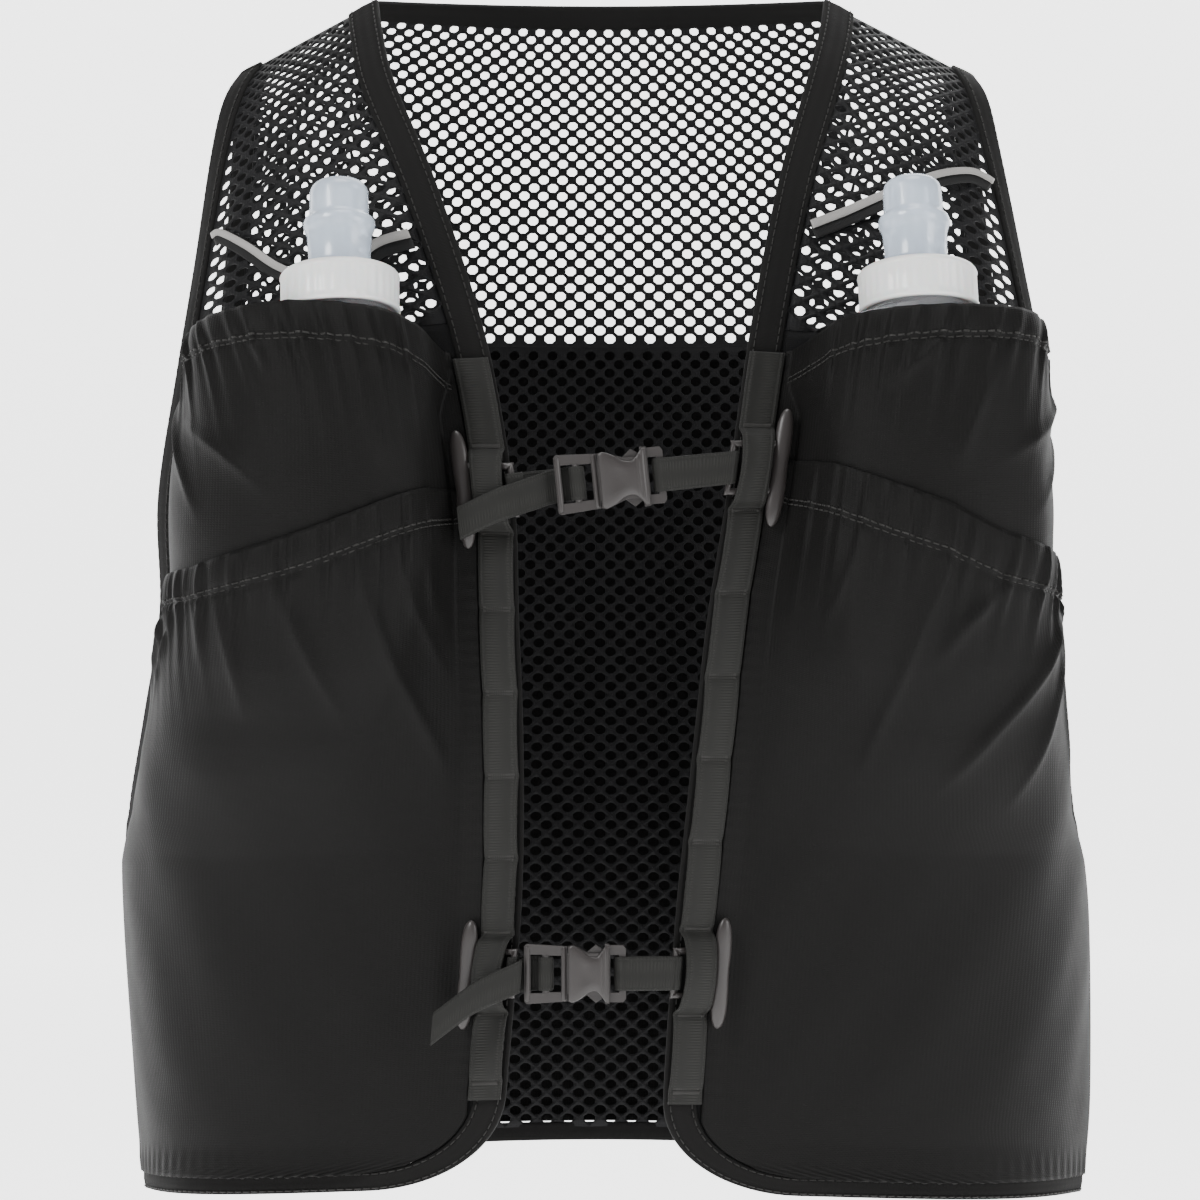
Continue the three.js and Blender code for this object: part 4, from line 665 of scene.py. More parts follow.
flask = {
    "length": 168.0, "sections": np.array([
        [0.00, 18.5, 18.0, 25.6], [0.03, 27.0, 19.5, 25.4], [0.08, 30.5, 20.0, 25.0], [0.25, 31.5, 18.5, 23.4],
        [0.50, 34.0, 16.5, 21.2], [0.75, 35.0, 14.5, 19.0], [0.92, 33.0, 11.5, 16.4], [1.00, 24.0, 5.0, 13.0]]),
    "below": [[1.20, 34.0, 6.0, 10.0], [1.50, 34.0, 5.0, 6.0], [1.90, 34.0, 0.8, 2.4]],
    "places": {"left": (0.395, 0.50, -0.293), "right": (0.47, 0.56, -0.291)},
    "neck": 19.5, "neckHeight": 9.0, "cap": 23.3, "capHeight": 17.6, "valve": 12.2, "valveHeight": 36.5,
    "stem": 5.0,
}
webbing = {
    "wide": 15.0, "thick": 1.6, "base": clothBase + pocketLayer, "toggleRise": 7.2, "plainRise": 1.6,
    "left": (-0.314, -0.921, [-.389, -.456, -.519, -.587, -.655, -.722, -.785, -.849, -.905]),
    "right": (-0.309, -0.924, [-.372, -.437, -.505, -.573, -.640, -.708, -.781, -.849, -.912]),
    "toggled": {"upper": 1, "lower": 7},
}
flaskTop = {side: float(fronts[side].downAt(*flask["places"][side][::2])) for side in sides}


def flaskAcross(side, down):
    top, bottom, _ = flask["places"][side]
    share = np.clip((down - flaskTop[side]) / flask["length"], 0, 1.2)
    return mix(top, bottom, share) * fronts[side].widthAt(down)


def swellAt(kind, share):
    bag = flask["sections"]
    own = bag[2:] if kind == "bottle" else np.concatenate([bag[2:-1], flask["below"]])
    give = 1.8 + 2 * ease(share, 0.85, 1)
    half, thick, height = (np.interp(share, own[:, 0], own[:, k]) for k in (1, 2, 3))
    return half + give, thick + give, height  # the pocket stands off the flask by what its cloth gives


def tautLift(off, edgeOff, swell):
    half, thick, height = swell
    ex, ey = -np.abs(edgeOff) / half, (clothBase - height) / thick
    away = np.maximum(1.0001, np.hypot(ex, ey))
    angle = (np.arctan2(ey, ex) + math.tau - np.arccos(1 / away)) % (math.tau)
    tx, ty = np.cos(angle), np.sin(angle)
    x = -np.abs(off) / half
    y = np.where(x < tx, ey + (x - ex) * (ty - ey) / np.maximum(0.02, tx - ex),
                 np.sqrt(np.clip(1 - x * x, 0, 1)))
    return height + thick * y


def stationsOf(side):
    top, bottom, tacks = webbing[side]
    return fronts[side].downAt(0.04, np.array([top, *tacks, bottom]))


def toggleMiddle(side, level):
    stations, k = stationsOf(side), webbing["toggled"][level]
    return (stations[k] + stations[k + 1]) / 2


def topOf(side, kind, share):
    pairs = np.array(pocketTops[side][kind])
    return fronts[side].downAt(share, np.interp(share, pairs[:, 0], pairs[:, 1]))


def foldRise(side, kind, across, down):
    panel, rise = fronts[side], 0.0
    for a0, h0, a1, h1, wide, lift in folds[side][kind]:
        ends = []
        for a, h in ((a0, h0), (a1, h1)):
            d = float(panel.downAt(a, h))
            ends.append(np.array([a * float(panel.widthAt(d)), d]))
        run = ends[1] - ends[0]
        here = np.stack([across, down], -1) - ends[0]
        along = here @ run / (run @ run)
        off = (here[..., 0] * run[1] - here[..., 1] * run[0]) / math.hypot(*run)
        bentOff = off + 1.3 * np.sin(3.1 * along + a0 * 9)
        fade = np.where(along > -0.18, np.sin(math.pi * np.clip(0.15 + 0.85 * along, 0, 1)), 0)
        ridge = 0.65 * hill(bentOff, 0, wide) + 0.75 * hill(bentOff, 0, 0.36 * wide)
        rise = rise + 1.25 * lift * fade * ridge
    return rise


casings = {"left": {"bottle": 14.0, "lower": 12.5}, "right": {"bottle": 12.0, "lower": 16.0}}


def pocketPlace(side, kind):
    panel = fronts[side]
    togglesAt = [toggleMiddle(side, level) for level in levels]
    mouth = float(panel.downAt(0.2, pocketTops[side]["bottle"][2][1]))
    turnDown = panel.length - size["cornerDown"]
    bottom = flaskTop[side] + 1.06 * flask["length"] if kind == "bottle" else panel.length - hemWide + 0.8

    def limits(down):
        start = np.maximum(clothStart(panel, down) + gap, webbing["wide"] + 0.6)
        low = np.maximum(mix(17.0, 24.5, ease(down, mouth + 10, mouth + 30)), start + 2)
        return start, low, clothEnd(panel, down) - 0.8

    def place(u, v):
        middle = float(topOf(side, kind, 0.5))
        start, low, high = limits(np.full(u.shape, middle))
        top = topOf(side, kind, mix(start, high, u) / panel.widthAt(middle))
        down = mix(top, bottom, v)
        start, low, high = limits(down)
        across = mix(start, high, u)
        peak = flaskAcross(side, down)
        share = (down - flaskTop[side]) / flask["length"]
        off = across - peak
        taut = tautLift(off, np.where(off < 0, low - peak, high - peak), swellAt(kind, share))
        flatPart = (across < low) | (across > high - 0.3)
        if kind == "bottle":
            flatPart = flatPart | (share >= 1.06)
            lowTop = topOf(side, "lower", across / panel.widthAt(down))
            shown = 1 - ease(down, lowTop - 22, lowTop - 2)
            layer = 0.0
        else:
            shown = 1 - ease(down, turnDown - 20, turnDown + 20)
            layer = pocketLayer * (1 - ease(share, 1.06, (turnDown - flaskTop[side]) / flask["length"]))
        near = ease(across, low, low + 9) * ease(high - across, 0, 12)
        height = np.where(flatPart, clothBase, np.maximum(clothBase, taut))
        below, casing = down - top, casings[side][kind]
        inside = np.clip(below / casing, 0, 1)
        ruffle = wander(across, (0.6, 6.2, 0.4), (0.3, 3.9, 1.9), (0.35, 10.5, 0.9))
        gather = 1.75 * np.clip(0.62 + ruffle, 0, 2) ** 1.4
        gather = gather * np.where(below < casing, 0.35 + 0.65 * inside, np.exp(-(below - casing) / 13))
        gather = gather * (1 - 0.75 * hill(below, casing, 1.1))
        roll = 1.2 * np.sin(math.pi * inside) ** 0.7 * (below < casing)
        drape = 0.45 * (1 + wander(across + 0.5 * down, (0.6, 38, 0.3), (0.4, 61, 2.0)))
        drape = drape * ease(below, casing, casing + 30)
        rise = near * shown * (foldRise(side, kind, across, down) + gather + drape) + near * roll
        clear = np.ones(u.shape)
        for at in togglesAt:
            clear = clear * ease(np.abs(down - at), 24, 30)
        pucker = 0.28 * (1 + ripple(down, 5.3)) * np.exp(-(across - start) / 6)
        hemPucker = 0.3 * (1 + ripple(across, 6.1)) * ease(down, bottom - 14, bottom - 2)
        rise = rise + clear * pucker * shown + (hemPucker if kind == "lower" else 0)
        return panel.place(across, down, height + layer + size["wall"] + rise)

    def casingLine(u, depth):
        middle = float(topOf(side, kind, 0.5))
        start, low, high = limits(np.full(u.shape, middle))
        return depth / (bottom - topOf(side, kind, mix(start, high, u) / panel.widthAt(middle)))

    return place, casingLine


for side in sides:
    for kind, rows, deep in (("bottle", 130, 165.0), ("lower", 170, 260.0)):
        shape, casingLine = pocketPlace(side, kind)
        span, casing, u = (105.0, deep), casings[side][kind], np.linspace(0.02, 0.98, 90)
        sheetPiece(f"{side}_{kind}_pouch", 150, rows, shape, span, "pocket_cloth",
                   nodes=[f"{side}_{kind}_pocket"], flip=side == "right")
        surface = Draped(shape, span, fronts[side].turn)
        stitchPiece(f"{side}_{kind}_casing_stitches", [
            (surface, routeOf(u * span[0], casingLine(u, depth) * deep), 0.02)
            for depth in (casing, casing - 1.6)], "pocket_cloth")
print("pockets ready")


# Fronts: shoulder nets, linings, bindings
def frontPlace(panel, low, high):
    def place(u, v):
        down = mix(low, high, v)
        beyond = np.where(down > panel.armholeEnd, 1.2, tuck)
        across = mix(clothStart(panel, down) - tuck, clothEnd(panel, down) + beyond, u)
        return panel.place(across, down, clothLift)
    return place


def edgeLines(panel):  # down the front, round the corner and along the hem
    turnDown, across, drop = panel.length - size["cornerDown"], size["cornerAcross"], size["cornerDown"]
    down, angle = np.linspace(gap, turnDown, 60)[:-1], np.linspace(0, math.pi / 2, 17)
    for inset, rise in ((0.0, 0.0), (bindingWide, hemWide)):
        at = panel.length - rise
        hemRun = mix(across, float(panel.widthAt(at)) - gap, np.linspace(0, 1, 25)[1:])
        corner = routeOf(across - (across - inset) * np.cos(angle), turnDown + (drop - rise) * np.sin(angle))
        yield np.concatenate([routeOf(inset, down), corner, routeOf(hemRun, at)])


def armholeStations(surface, turn, at):
    wide = surface.widthAt(at)
    return onPanel(surface, routeOf(turn * wide, at), routeOf(turn * (wide - armholeWide), at))


def tipOf(surface, turn):
    ends = (surface.armholeEnd, surface.armholeEnd + size["tipDrop"])
    return onPanel(surface, *(routeOf([turn * float(surface.widthAt(at))], at) for at in ends))


def between(first, second):
    return tuple((a + b) / 2 for a, b in zip(first, second))


for side, sign in zip(sides, (-1, 1)):
    panel, flip = fronts[side], side == "right"
    netEnd = float(panel.downAt(0.5, pocketTops[side]["bottle"][3][1]))
    hemTop = panel.length - hemWide + tuck
    netPiece(f"{side}_shoulder_net", frontPlace(panel, gap, netEnd), (58.0, netEnd),
             nodes=[f"{side}_front_mesh_panel"], flip=flip)
    sheetPiece(f"{side}_front_lining", 40, 110, frontPlace(panel, netEnd, hemTop), (140.0, hemTop - netEnd),
               "lining", "net", flip=flip)

    outer, inner = edgeLines(panel)
    ribbonPiece(f"{side}_front_edge", onPanel(panel, outer, inner), bindingThick, "binding",
                [f"{side}_front_binding"], relief=lambda x, s, w, n: -0.22 * (
                    hill(x, w - 2, 0.5) + hill(x, 2, 0.5)) + 0.08 * ripple(s, 4.4))
    stitchPiece(f"{side}_front_edge_stitches",
                [(panel, mix(outer, inner, t), bindingThick + 0.02) for t in (0.15, 0.85)], "binding")

    frontSeam, backSeam = (
        np.linspace(p.armholeEnd + size["tipDrop"] - 2, p.length - 1, 40) for p in (panel, back))
    frontRim, backRim = panel.widthAt(frontSeam) - 2.4, sign * (back.widthAt(backSeam) - 2.4)
    seamUp = unit(panel.normal(frontRim, frontSeam) + back.normal(backRim, backSeam))
    seamEdges = (panel.place(frontRim, frontSeam, 0.5), back.place(backRim, backSeam, 0.5), seamUp)
    ribbonPiece(f"{side}_side_seam", seamEdges, 1.7, "binding", around=14,
                relief=lambda x, s, w, n: 0.1 * ripple(s, 3.5))

    # armhole: down the front, round the tip, up the back and over the shoulder
    frontDown, backDown = np.linspace(3, panel.armholeEnd - 3, 46), np.linspace(back.armholeEnd - 3, 3, 46)
    crest = np.array([gap])
    ring = [armholeStations(panel, 1, frontDown), between(tipOf(panel, 1), tipOf(back, sign)),
            armholeStations(back, sign, backDown),
            between(armholeStations(panel, 1, crest), armholeStations(back, sign, crest))]
    ribbonPiece(f"{side}_armhole_edge", [np.concatenate([part[k] for part in ring]) for k in range(3)],
                bindingThick, "binding", [f"{side}_armhole_binding"], ring=True,
                relief=lambda x, s, w, n: -0.22 * hill(x, w - 2, 0.5) + 0.08 * ripple(s, 4.1))
    stitchPiece(f"{side}_armhole_stitches", [
        (surface, routeOf(turn * (surface.widthAt(at) - armholeWide + 1.8), at), bindingThick + 0.02)
        for surface, turn, at in ((panel, 1, frontDown), (back, sign, backDown))], "binding")
print("fronts and bindings ready")

# Webbing with sewn loops, and its bar tacks
for side in sides:
    panel, stations = fronts[side], stationsOf(side)
    toggled = list(webbing["toggled"].values())
    downs, lifts = [], []
    for k in range(len(stations) - 1):
        rise = webbing["toggleRise"] if k in toggled else webbing["plainRise"]
        if k in (0, len(stations) - 2):
            rise = 0
        t = np.linspace(0, 1, 15)[(0 if k == 0 else 1):]
        downs.append(mix(stations[k], stations[k + 1], t))
        lifts.append(webbing["base"] + rise * np.sqrt(np.abs(np.sin(math.pi * t))))
    downs, lifts = np.concatenate(downs), np.concatenate(lifts)
    ribbonPiece(f"{side}_webbing", onPanel(panel, routeOf(0, downs), routeOf(webbing["wide"], downs), lifts),
                webbing["thick"], "webbing", [f"{side}_daisy_chain"], around=44, step=1.2, square=(0.3, 0.5),
                relief=lambda x, s, w, n: 0.1 * np.cos(math.tau * x / 2.1))
    tacks = bmesh.new()
    for at in stations[1:-1]:
        for shift in (-0.9, 0.9):
            spread = np.linspace(1.6, webbing["wide"] - 1.6, 12)
            edges = (routeOf(spread, at + end + shift) for end in (-0.8, 0.8))
            ribbon(tacks, *onPanel(panel, *edges, webbing["base"] + webbing["thick"] - 0.1), 0.55, around=8,
                   step=0.45, square=(0.6, 0.7), relief=lambda x, s, w, n: 0.14 * ripple(s, 0.9))
    shownPiece(f"{side}_bar_tacks", tacks, "thread", "webbing")
print("webbing ready")

# Toggles
toggle = {"length": 43.0, "wide": 7.0, "thick": 4.6, "spread": 17.0, "armThick": 1.8, "armWide": 2.4,
          "corner": 1.2, "barAcross": -2.8, "across": webbing["wide"] + gap + 3.5,
          "lift": clothBase + 2 * pocketLayer + 2.3}


def barPlace(panel, at):
    def place(u, v):
        along, angle = np.sin(math.pi * (v - 0.5)), math.tau * u
        full = np.maximum(0.02, np.sqrt(np.clip(1 - np.abs(along) ** 5, 0, 1)))
        dent = 1 - 0.1 * hill(along, 0, 0.25)
        return panel.place(toggle["across"] + toggle["wide"] / 2 * full * dent * np.cos(angle),
                           at + toggle["length"] / 2 * along,
                           toggle["lift"] + toggle["thick"] / 2 * full * np.sin(angle))
    return place


half, turn = toggle["spread"] / 2, toggle["corner"]
bracket = np.array([[toggle["across"], half], [toggle["barAcross"] + turn, half],
                    [toggle["barAcross"], half - turn]])
bracket = np.concatenate([bracket * [1, -1], bracket[::-1]])
inward = np.array([[0, 1], [0.6, 1], [1, 0.6], [1, -0.6], [0.6, -1], [0, -1]]) * toggle["armWide"] / 2
for side in sides:
    for level in levels:
        panel, at = fronts[side], toggleMiddle(side, level)
        bm = bmesh.new()
        mapGrid(bm, 28, 40, barPlace(panel, at), (toggle["wide"] * 3, toggle["length"]), closed=True)
        edges = (bracket + shift + [0, at] for shift in (-inward, inward))
        ribbon(bm, *onPanel(panel, *edges, toggle["lift"] - toggle["armThick"] / 2), toggle["armThick"],
               around=12, step=0.8, square=(0.7, 0.7))
        shownPiece(f"{level}_{side}_toggle_bar", bm, "buckle_plastic", nodes=[f"{level}_{side}_toggle"])

# Chest straps
strap = {
    "wide": 13.0, "thick": 1.0, "buckleThick": 6.0, "tailEnd": 15.0, "frameWall": 2.4,
    "slot": 4.6, "socketBar": 1.3, "latch": 2.4,
    "upper": {"start": 16.5, "length": 42.0, "tailReach": -7.0, "tailDrop": -5.6, "tailSlope": 0.35},
    "lower": {"start": 4.4, "length": 39.0, "tailReach": -14.0, "tailDrop": -9.0, "tailSlope": 0.8},
}
loopRadius = math.hypot(toggle["armWide"], toggle["armThick"]) / 2 + gap + strap["thick"] / 2


class StrapFrame:
    def __init__(self, level):
        half, bars = toggle["spread"] / 2 - toggle["corner"], []
        for side in sides:
            at = toggleMiddle(side, level)
            top, low = fronts[side].place(toggle["barAcross"], np.array([at - half, at + half]), toggle["lift"])
            bars.append(((top + low) / 2, unit(top - low)))
        self.start = bars[0][0]
        along = bars[1][0] - self.start
        self.span = float(np.linalg.norm(along))
        self.along = along / self.span
        self.out = unit(np.array([0, -1.0, 0]) + self.along * self.along[1])
        self.up = unit(np.cross(self.out, self.along))
        self.runs, self.own = [b[1] for b in bars], strap[level]

    def widthRun(self, u):
        own, end = self.own, self.own["start"] + self.own["length"]
        left = (own["start"] - u) / (own["start"] - loopRadius)
        right = (u - end) / (self.span - loopRadius - end)
        turn = np.clip(np.maximum(left, right), 0, 1)[:, None]
        return unit(mix(self.up, np.where((left > right)[:, None], self.runs[0], self.runs[1]), turn))

    def ribbon(self, bm, route, ring=False, **options):
        route = np.array(route, float)
        u, n, w, t = route.T
        ends = route[[-1, 0]] if ring else route[[0, -1]]
        run = unit((np.concatenate([route[1:], ends[1:]]) - np.concatenate([ends[:1], route[:-1]]))[:, :2])
        centre = self.start + np.outer(u, self.along) + np.outer(n, self.out)
        face = np.outer(-run[:, 1], self.along) + np.outer(run[:, 0], self.out)
        centre = centre - face * (t / 2)[:, None]
        edges = (centre + self.widthRun(u) * (w + turn * strap["wide"] / 2)[:, None] for turn in (-1, 1))
        ribbon(bm, *edges, face, t, ring=ring, **options)

    def plate(self, bm, stations, **options):  # rows of (along, half width, rise, thickness)
        u, half, n, t = np.array(stations, float).T
        centre = self.start + np.outer(u, self.along) + np.outer(n, self.out)
        edge = np.outer(half, self.up)
        ribbon(bm, centre - edge, centre + edge, np.tile(self.out, (len(u), 1)), t, **options)


def roundBar(centre, level, away, radius, start, thick):
    angles = math.pi * (0.5 - np.linspace(0, 1, 9))
    return [[centre + away * radius * math.cos(a), level + start * radius * math.sin(a), 0, thick]
            for a in angles]


def refined(node, look, bevel):
    source = bpy.data.objects[node] if node in bpy.data.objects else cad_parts[node]
    bm = bmesh.new()
    bm.from_mesh(source.data)
    bmesh.ops.remove_doubles(bm, verts=bm.verts[:], dist=1e-6)
    bmesh.ops.dissolve_limit(bm, angle_limit=0.02, verts=bm.verts[:], edges=bm.edges[:])
    return shownPiece(f"{node}_moulded", bm, look, nodes=[node], bevel=bevel)


ribs = {"relief": lambda x, s, w, n: 0.07 * np.cos(math.tau * s / 1.4), "around": 24, "step": 0.35,
        "square": (0.3, 0.6)}
crownLook = {  # domed cover: share along it, half width and rise; and ladder bars: place and half width
    "outline": [(0.02, 10.2, 0.6), (0.1, 10.8, 1.0), (0.28, 9.6, 1.3), (0.5, 7.0, 1.45), (0.68, 6.6, 1.4),
                (0.8, 8.4, 1.3), (0.9, 10.6, 1.1), (0.98, 10.8, 0.6)],
    "bars": [(1.2, 10.6), (8.3, 7.2)], "lastBar": (-1.6, 10.4), "grip": 1.5, "shortBy": 3.7,
}


def crownRelief(x, s, w, n):  # a thumb hollow, then grip lines
    hollow = -0.35 * np.exp(-(((s / n - 0.4) / 0.14) ** 2) - ((x - w / 2) / 3.4) ** 2)
    return hollow + 0.16 * np.cos(math.tau * s / crownLook["grip"]) * ease(s / n, 0.72, 0.8)


for level in levels:
    own, lines, t = strap[level], StrapFrame(level), strap["thick"]
    start, end, reach, drop = own["start"], own["start"] + own["length"], own["tailReach"], own["tailDrop"]
    bar = start + strap["frameWall"] + strap["slot"] + strap["socketBar"]
    beside, over, low = strap["socketBar"] + 1.0, strap["latch"] + 1.0, -strap["buckleThick"] / 2 + 0.5
    overWebbing = webbing["base"] + webbing["toggleRise"] + webbing["thick"] - toggle["lift"]
    overWebbing += gap + t
    tail = [[u, n, drop * min(1, max(0, (start - u) / (start - reach))), t] for u, n in (  # slips sideways
        (start - 1.8, low + 1.4), (start * 0.52, 3), (2.8, overWebbing - 1.4), (-0.6, overWebbing))]
    turns = [(2.8, -loopRadius), (4.9, low - 0.6), (bar + beside - 1.2, low - 0.6), (bar + beside, low + 1.2),
             (bar + beside, over - 1.2), (bar + beside - 1.2, over), (bar - beside + 1.2, over),
             (bar - beside, over - 1.2), (bar - beside, low + 2.6), (bar - beside - 1.3, low + 1.3)]
    bm = bmesh.new()
    lines.ribbon(bm, [
        [min(4.5, start * 0.3), loopRadius, 0, t], *roundBar(0, 0, -1, loopRadius, 1, t),
        *([u, n, 0, t] for u, n in turns), *tail, [reach, overWebbing, drop, 3 * t],
        [reach - strap["tailEnd"], overWebbing - 3, drop - own["tailSlope"] * strap["tailEnd"], 3 * t]], **ribs)
    shownPiece(f"{level}_tail_strap", bm, "webbing", nodes=[f"{level}_adjuster_strap"])
    radius = math.hypot(strap["socketBar"], strap["latch"] / 2 + gap) + gap + t / 2
    bm = bmesh.new()
    lines.ribbon(bm, [*roundBar(lines.span, 0, 1, loopRadius, 1, t),
                      *roundBar(end - strap["socketBar"], strap["latch"] / 2, -1, radius, -1, t)],
                 ring=True, **ribs)
    shownPiece(f"{level}_closed_strap", bm, "webbing", nodes=[f"{level}_loop_strap"])
    refined(f"{level}_buckle_latch", "buckle_plastic", 0.5)
    refined(f"{level}_buckle_socket", "buckle_plastic", 0.8)
    face = start + 2 * (strap["frameWall"] + strap["slot"] + strap["socketBar"]) + gap
    deep = end - face - 2 * strap["socketBar"] - crownLook["shortBy"]
    crown, barTop = strap["latch"] / 2 + strap["buckleThick"] / 2 - 0.5, strap["latch"] - 0.2
    bm = bmesh.new()
    cover = [(face + share * deep, half, crown, 0.5 + rise) for share, half, rise in crownLook["outline"]]
    lines.plate(bm, cover, around=36, step=0.35, square=(0.45, 0.9), relief=crownRelief)
    lastAt, lastHalf = crownLook["lastBar"]
    for at, half in (*((start + place, half) for place, half in crownLook["bars"]), (face + lastAt, lastHalf)):
        lines.plate(bm, [(at + off, half - slim, barTop, thick) for off, slim, thick in (
            (-0.9, 0.5, 0.5), (0, 0, 0.95), (0.9, 0.5, 0.5))], around=24, step=0.25, square=(0.3, 0.9))
    shownPiece(f"{level}_buckle_crown", bm, "buckle_plastic")
print("straps, toggles and buckles ready")

# Elastic bands with reflective stripes over the shoulders
bands = {
    "left": [[.87, -.208], [.82, -.206], [.69, -.219], [.58, -.237], [.48, -.247], [.38, -.241], [.26, -.219],
             [.145, -.210]],
    "right": [[.142, -.203], [.27, -.190], [.46, -.170], [.60, -.159], [.74, -.155], [.83, -.159],
              [.865, -.162]],
    "wide": 7.5, "thick": 1.2, "stripe": 3.4, "stripeThick": 0.5,
}
for side in sides:
    panel, route = fronts[side], np.array(bands[side])
    downs = panel.downAt(route[:, 0], route[:, 1])
    table = np.stack([route[:, 0] * panel.widthAt(downs), downs], -1)
    line = alongRows(table, np.linspace(0, len(table) - 1, 60))
    run = unit(np.gradient(line, axis=0))
    off = np.stack([-run[:, 1], run[:, 0]], -1) * np.where(run[:, :1] < 0, -1, 1)
    stripeBase = clothBase + bands["thick"] + gap
    for name, node, low, high, base, thick, look in (
            ("band", "elastic_band", -2.1, 5.4, clothBase, bands["thick"], "elastic"),
            ("stripe", "reflective_stripe", -1.7, 1.7, stripeBase, bands["stripeThick"], "reflective")):
        edges = onPanel(panel, line + off * low, line + off * high, base)
        ribbonPiece(f"{side}_shoulder_{name}", edges, thick, look, [f"{side}_{node}"], step=1.0,
                    relief=lambda x, s, w, n: 0.06 * ripple(s, 2.2))
print("bands ready")


# Flasks: film body, threaded cap with grip ribs, bite valve
def spun(profile, standing, steps, shape=None):
    bm = bmesh.new()
    points = [bm.verts.new((r, 0, h)) for r, h in profile]
    edges = [bm.edges.new(pair) for pair in zip(points, points[1:])]
    bmesh.ops.spin(bm, geom=points + edges, cent=(0, 0, 0), axis=(0, 0, 1), angle=math.tau, steps=steps,
                   use_merge=True)
    bmesh.ops.remove_doubles(bm, verts=bm.verts[:], dist=1e-4)
    co = np.array([v.co for v in bm.verts])
    for v, spot in zip(bm.verts, standing(shape(co) if shape else co) * 0.001):
        v.co = spot
    bm.normal_update()
    bmesh.ops.recalc_face_normals(bm, faces=bm.faces[:])
    return bm


def grips(co):
    radius, angle = np.hypot(co[:, 0], co[:, 1]), np.arctan2(co[:, 1], co[:, 0])
    wall = (radius > 22.4) & (co[:, 2] > 2.2) & (co[:, 2] < 14.5)
    push = np.where(wall, 1 - 0.02 * (0.5 - 0.5 * np.cos(36 * angle)) ** 2, 1)[:, None]
    return np.concatenate([co[:, :2] * push, co[:, 2:]], 1)


def flaskAxes(side):
    panel, top, rise = fronts[side], flaskTop[side], flask["sections"][0, 3]
    lower = top + 0.06 * flask["length"]
    origin = panel.place(float(flaskAcross(side, top)), top, rise)
    up = unit(origin - panel.place(float(flaskAcross(side, lower)), lower, rise))
    right = unit(np.cross(up, panel.normal(float(flaskAcross(side, top)), top)))
    axes = np.array([right, np.cross(right, up), up])
    return lambda co: origin + co @ axes


def filmPlace(side, standing):
    sections, turn = flask["sections"], -1 if side == "left" else 1

    def place(u, v):
        angle = math.tau * u
        c, s = np.cos(angle), np.sin(angle)
        share = mix(0.03, 1.0, np.clip((v - 0.12) / 0.86, 0, 1))
        half, thick, height = (np.interp(share, sections[:, 0], sections[:, k]) for k in (1, 2, 3))
        crease = 1 + 0.012 * np.sin(5 * angle + 9 * v) * ease(v, 0.2, 0.3)
        close, down = np.sqrt(np.clip((1 - v) / 0.02, 0, 1)) * crease, flaskTop[side] + share * flask["length"]
        bag = fronts[side].place(flaskAcross(side, down) + turn * half * close * c, down,
                                 height + thick * close * s)
        neckAt = mix(flask["neckHeight"], 0.0, np.clip(v / 0.06, 0, 1))
        neck = standing(np.stack([flask["neck"] * c, flask["neck"] * s, neckAt], -1))
        return mix(neck, bag, ease(v, 0.06, 0.14)[:, None])
    return place


capFoot = 0.6
capTop = capFoot + flask["capHeight"]
stemTop = capTop + flask["valveHeight"] - 6
r, stem, roof = flask["cap"], flask["stem"], capTop - 4
capProfile = [
    [0, roof], [r - 2, roof], [r - 2, capFoot], [r - 0.5, capFoot], [r, capFoot + 0.5], [r, 2.0],
    [r - 0.4, 2.4], [r - 0.4, 5], [r - 0.4, 9], [r - 0.4, 14.0], [r - 0.1, 14.6],
    *([r - a, capTop - b] for a, b in ((0.4, 2.6), (1.2, 1.5), (2.4, 0.8), (4.4, 0.2), (6, 0))),
    [flask["valve"] + 2.4, capTop], [flask["valve"] + 1.9, capTop - 0.5], [stem + 0.6, capTop - 0.5],
    [stem, capTop + 0.6], [stem, stemTop - 0.6], [stem - 0.6, stemTop], [0, stemTop]]
foot, top, r = capTop + 0.3, capTop + flask["valveHeight"], flask["valve"]
ringAt = capTop + flask["valveHeight"] * 0.46
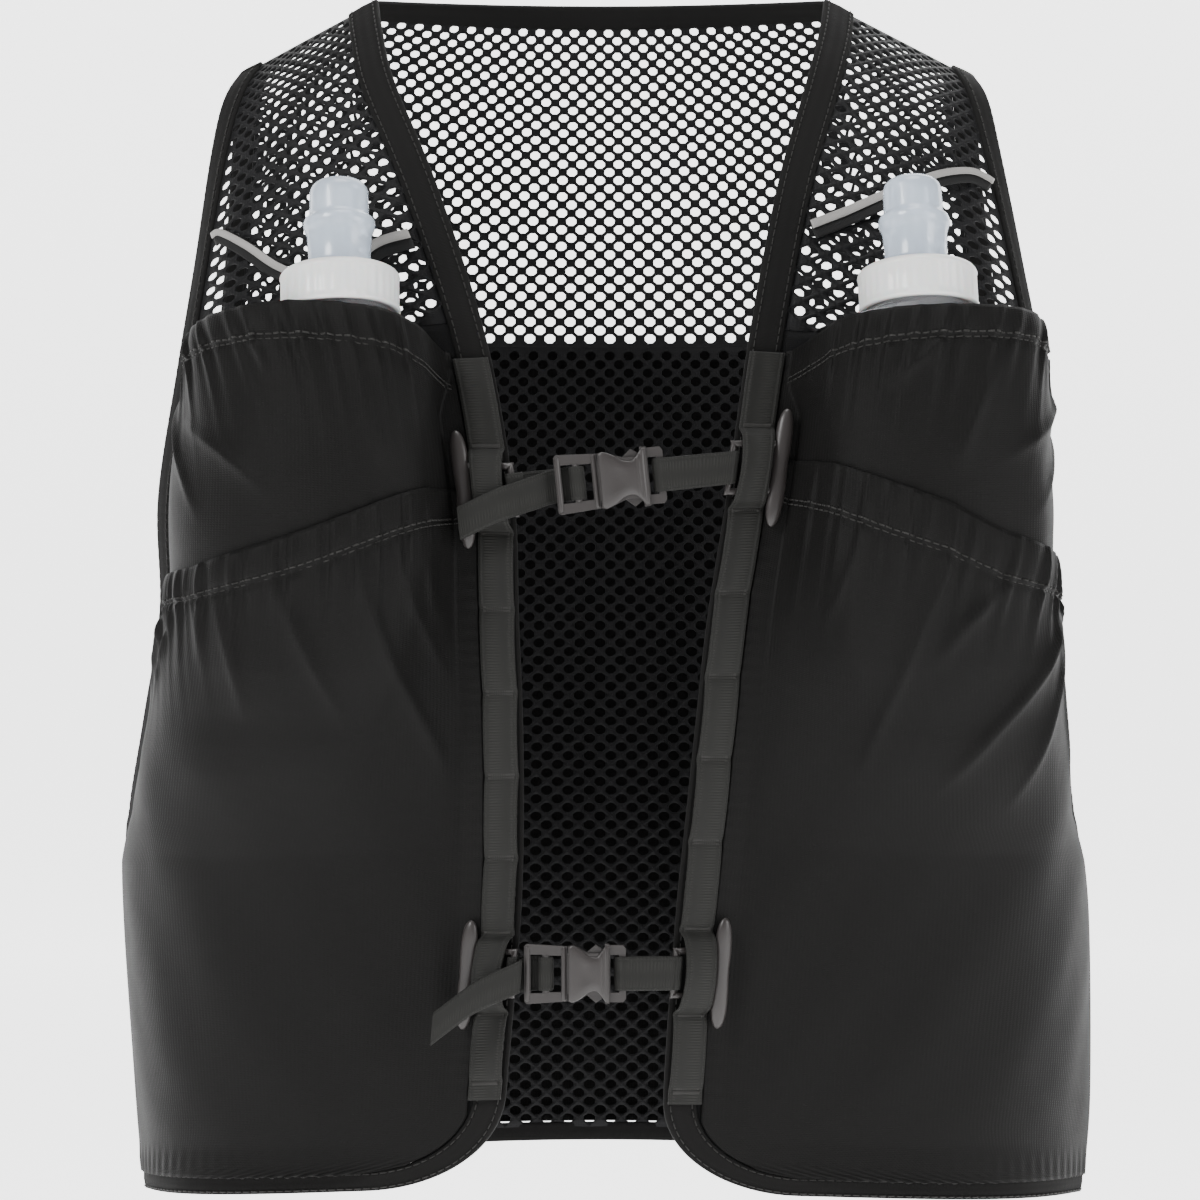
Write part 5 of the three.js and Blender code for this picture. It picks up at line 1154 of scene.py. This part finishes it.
valveProfile = [
    [0, stemTop + 0.3], [5.1, stemTop + 0.3], [5.3, foot], [r - 0.5, foot], [r, foot + 0.5],
    [r + 0.1, foot + 3], [r - 0.2, foot + 5], *([r + a, ringAt + b] for a, b in (
        (0.3, -3.2), (1.2, -0.8), (1.6, 0.4), (1.6, 2.4), (1.1, 3.6), (-0.3, 4.6), (-0.7, 6))),
    *([r - a, top - b] for a, b in ((0.9, 5), (1.5, 3.2), (2.6, 1.8), (4.4, 0.7))),
    [4.4, top - 0.1], [2.2, top], [1.0, top - 0.3], [0, top - 0.9]]
for side in sides:
    standing, capBody = flaskAxes(side), f"{side}_cap"
    bm = bmesh.new()
    mapGrid(bm, 56, 90, filmPlace(side, standing), (190.0, 180.0), closed=True)
    shownPiece(f"{side}_flask_film", bm, "flask_film", nodes=[f"{side}_flask_body"])
    shownPiece(f"{side}_cap", spun(capProfile, standing, 144, grips), "flask_cap",
               nodes=[f"{side}_flask_cap"], body=capBody)
    shownPiece(f"{side}_valve", spun(valveProfile, standing, 72), "bite_valve",
               nodes=[f"{side}_bite_valve"], body=capBody)
print("flasks ready")

# Paper floor and sweep
bm = bmesh.new()
bmesh.ops.create_grid(bm, x_segments=1, y_segments=40, size=1)
for v in bm.verts:
    t = (v.co.y + 1) / 2 * studio["run"]
    flatRun, turnRun = studio["flatRun"], studio["bend"] * math.pi / 2
    if t < flatRun:
        y, z = studio["wallAt"] - studio["bend"] - flatRun + t, 0.0
        y -= studio["apron"] if t < 0.01 else 0  # the floor's front edge, far behind the camera
    elif t < flatRun + turnRun:
        a = (t - flatRun) / studio["bend"]
        y, z = studio["wallAt"] - studio["bend"] * (1 - math.sin(a)), studio["bend"] * (1 - math.cos(a))
    else:
        y, z = studio["wallAt"], studio["bend"] + (t - flatRun - turnRun) * studio["wallStretch"]
    v.co = (v.co.x * studio["reach"], y, studio["floorAt"] + z)
paper = bpy.data.meshes.new("paper_sweep")
bm.to_mesh(paper)
bm.free()
paper.shade_smooth()
sweep = bpy.data.objects.new("paper_sweep", paper)
paperFinish = newFinish("studio_paper", studio["paper"], 0.9, None, (300, 0.0), mottle=0.0)
paperShader = paperFinish.node_tree.nodes["Principled BSDF"]
paperShader.inputs["Emission Color"].default_value = (1, 1, 1, 1)
paperShader.inputs["Emission Strength"].default_value = studio["paperGlow"]
paper.materials.append(paperFinish)
bpy.context.scene.collection.objects.link(sweep)
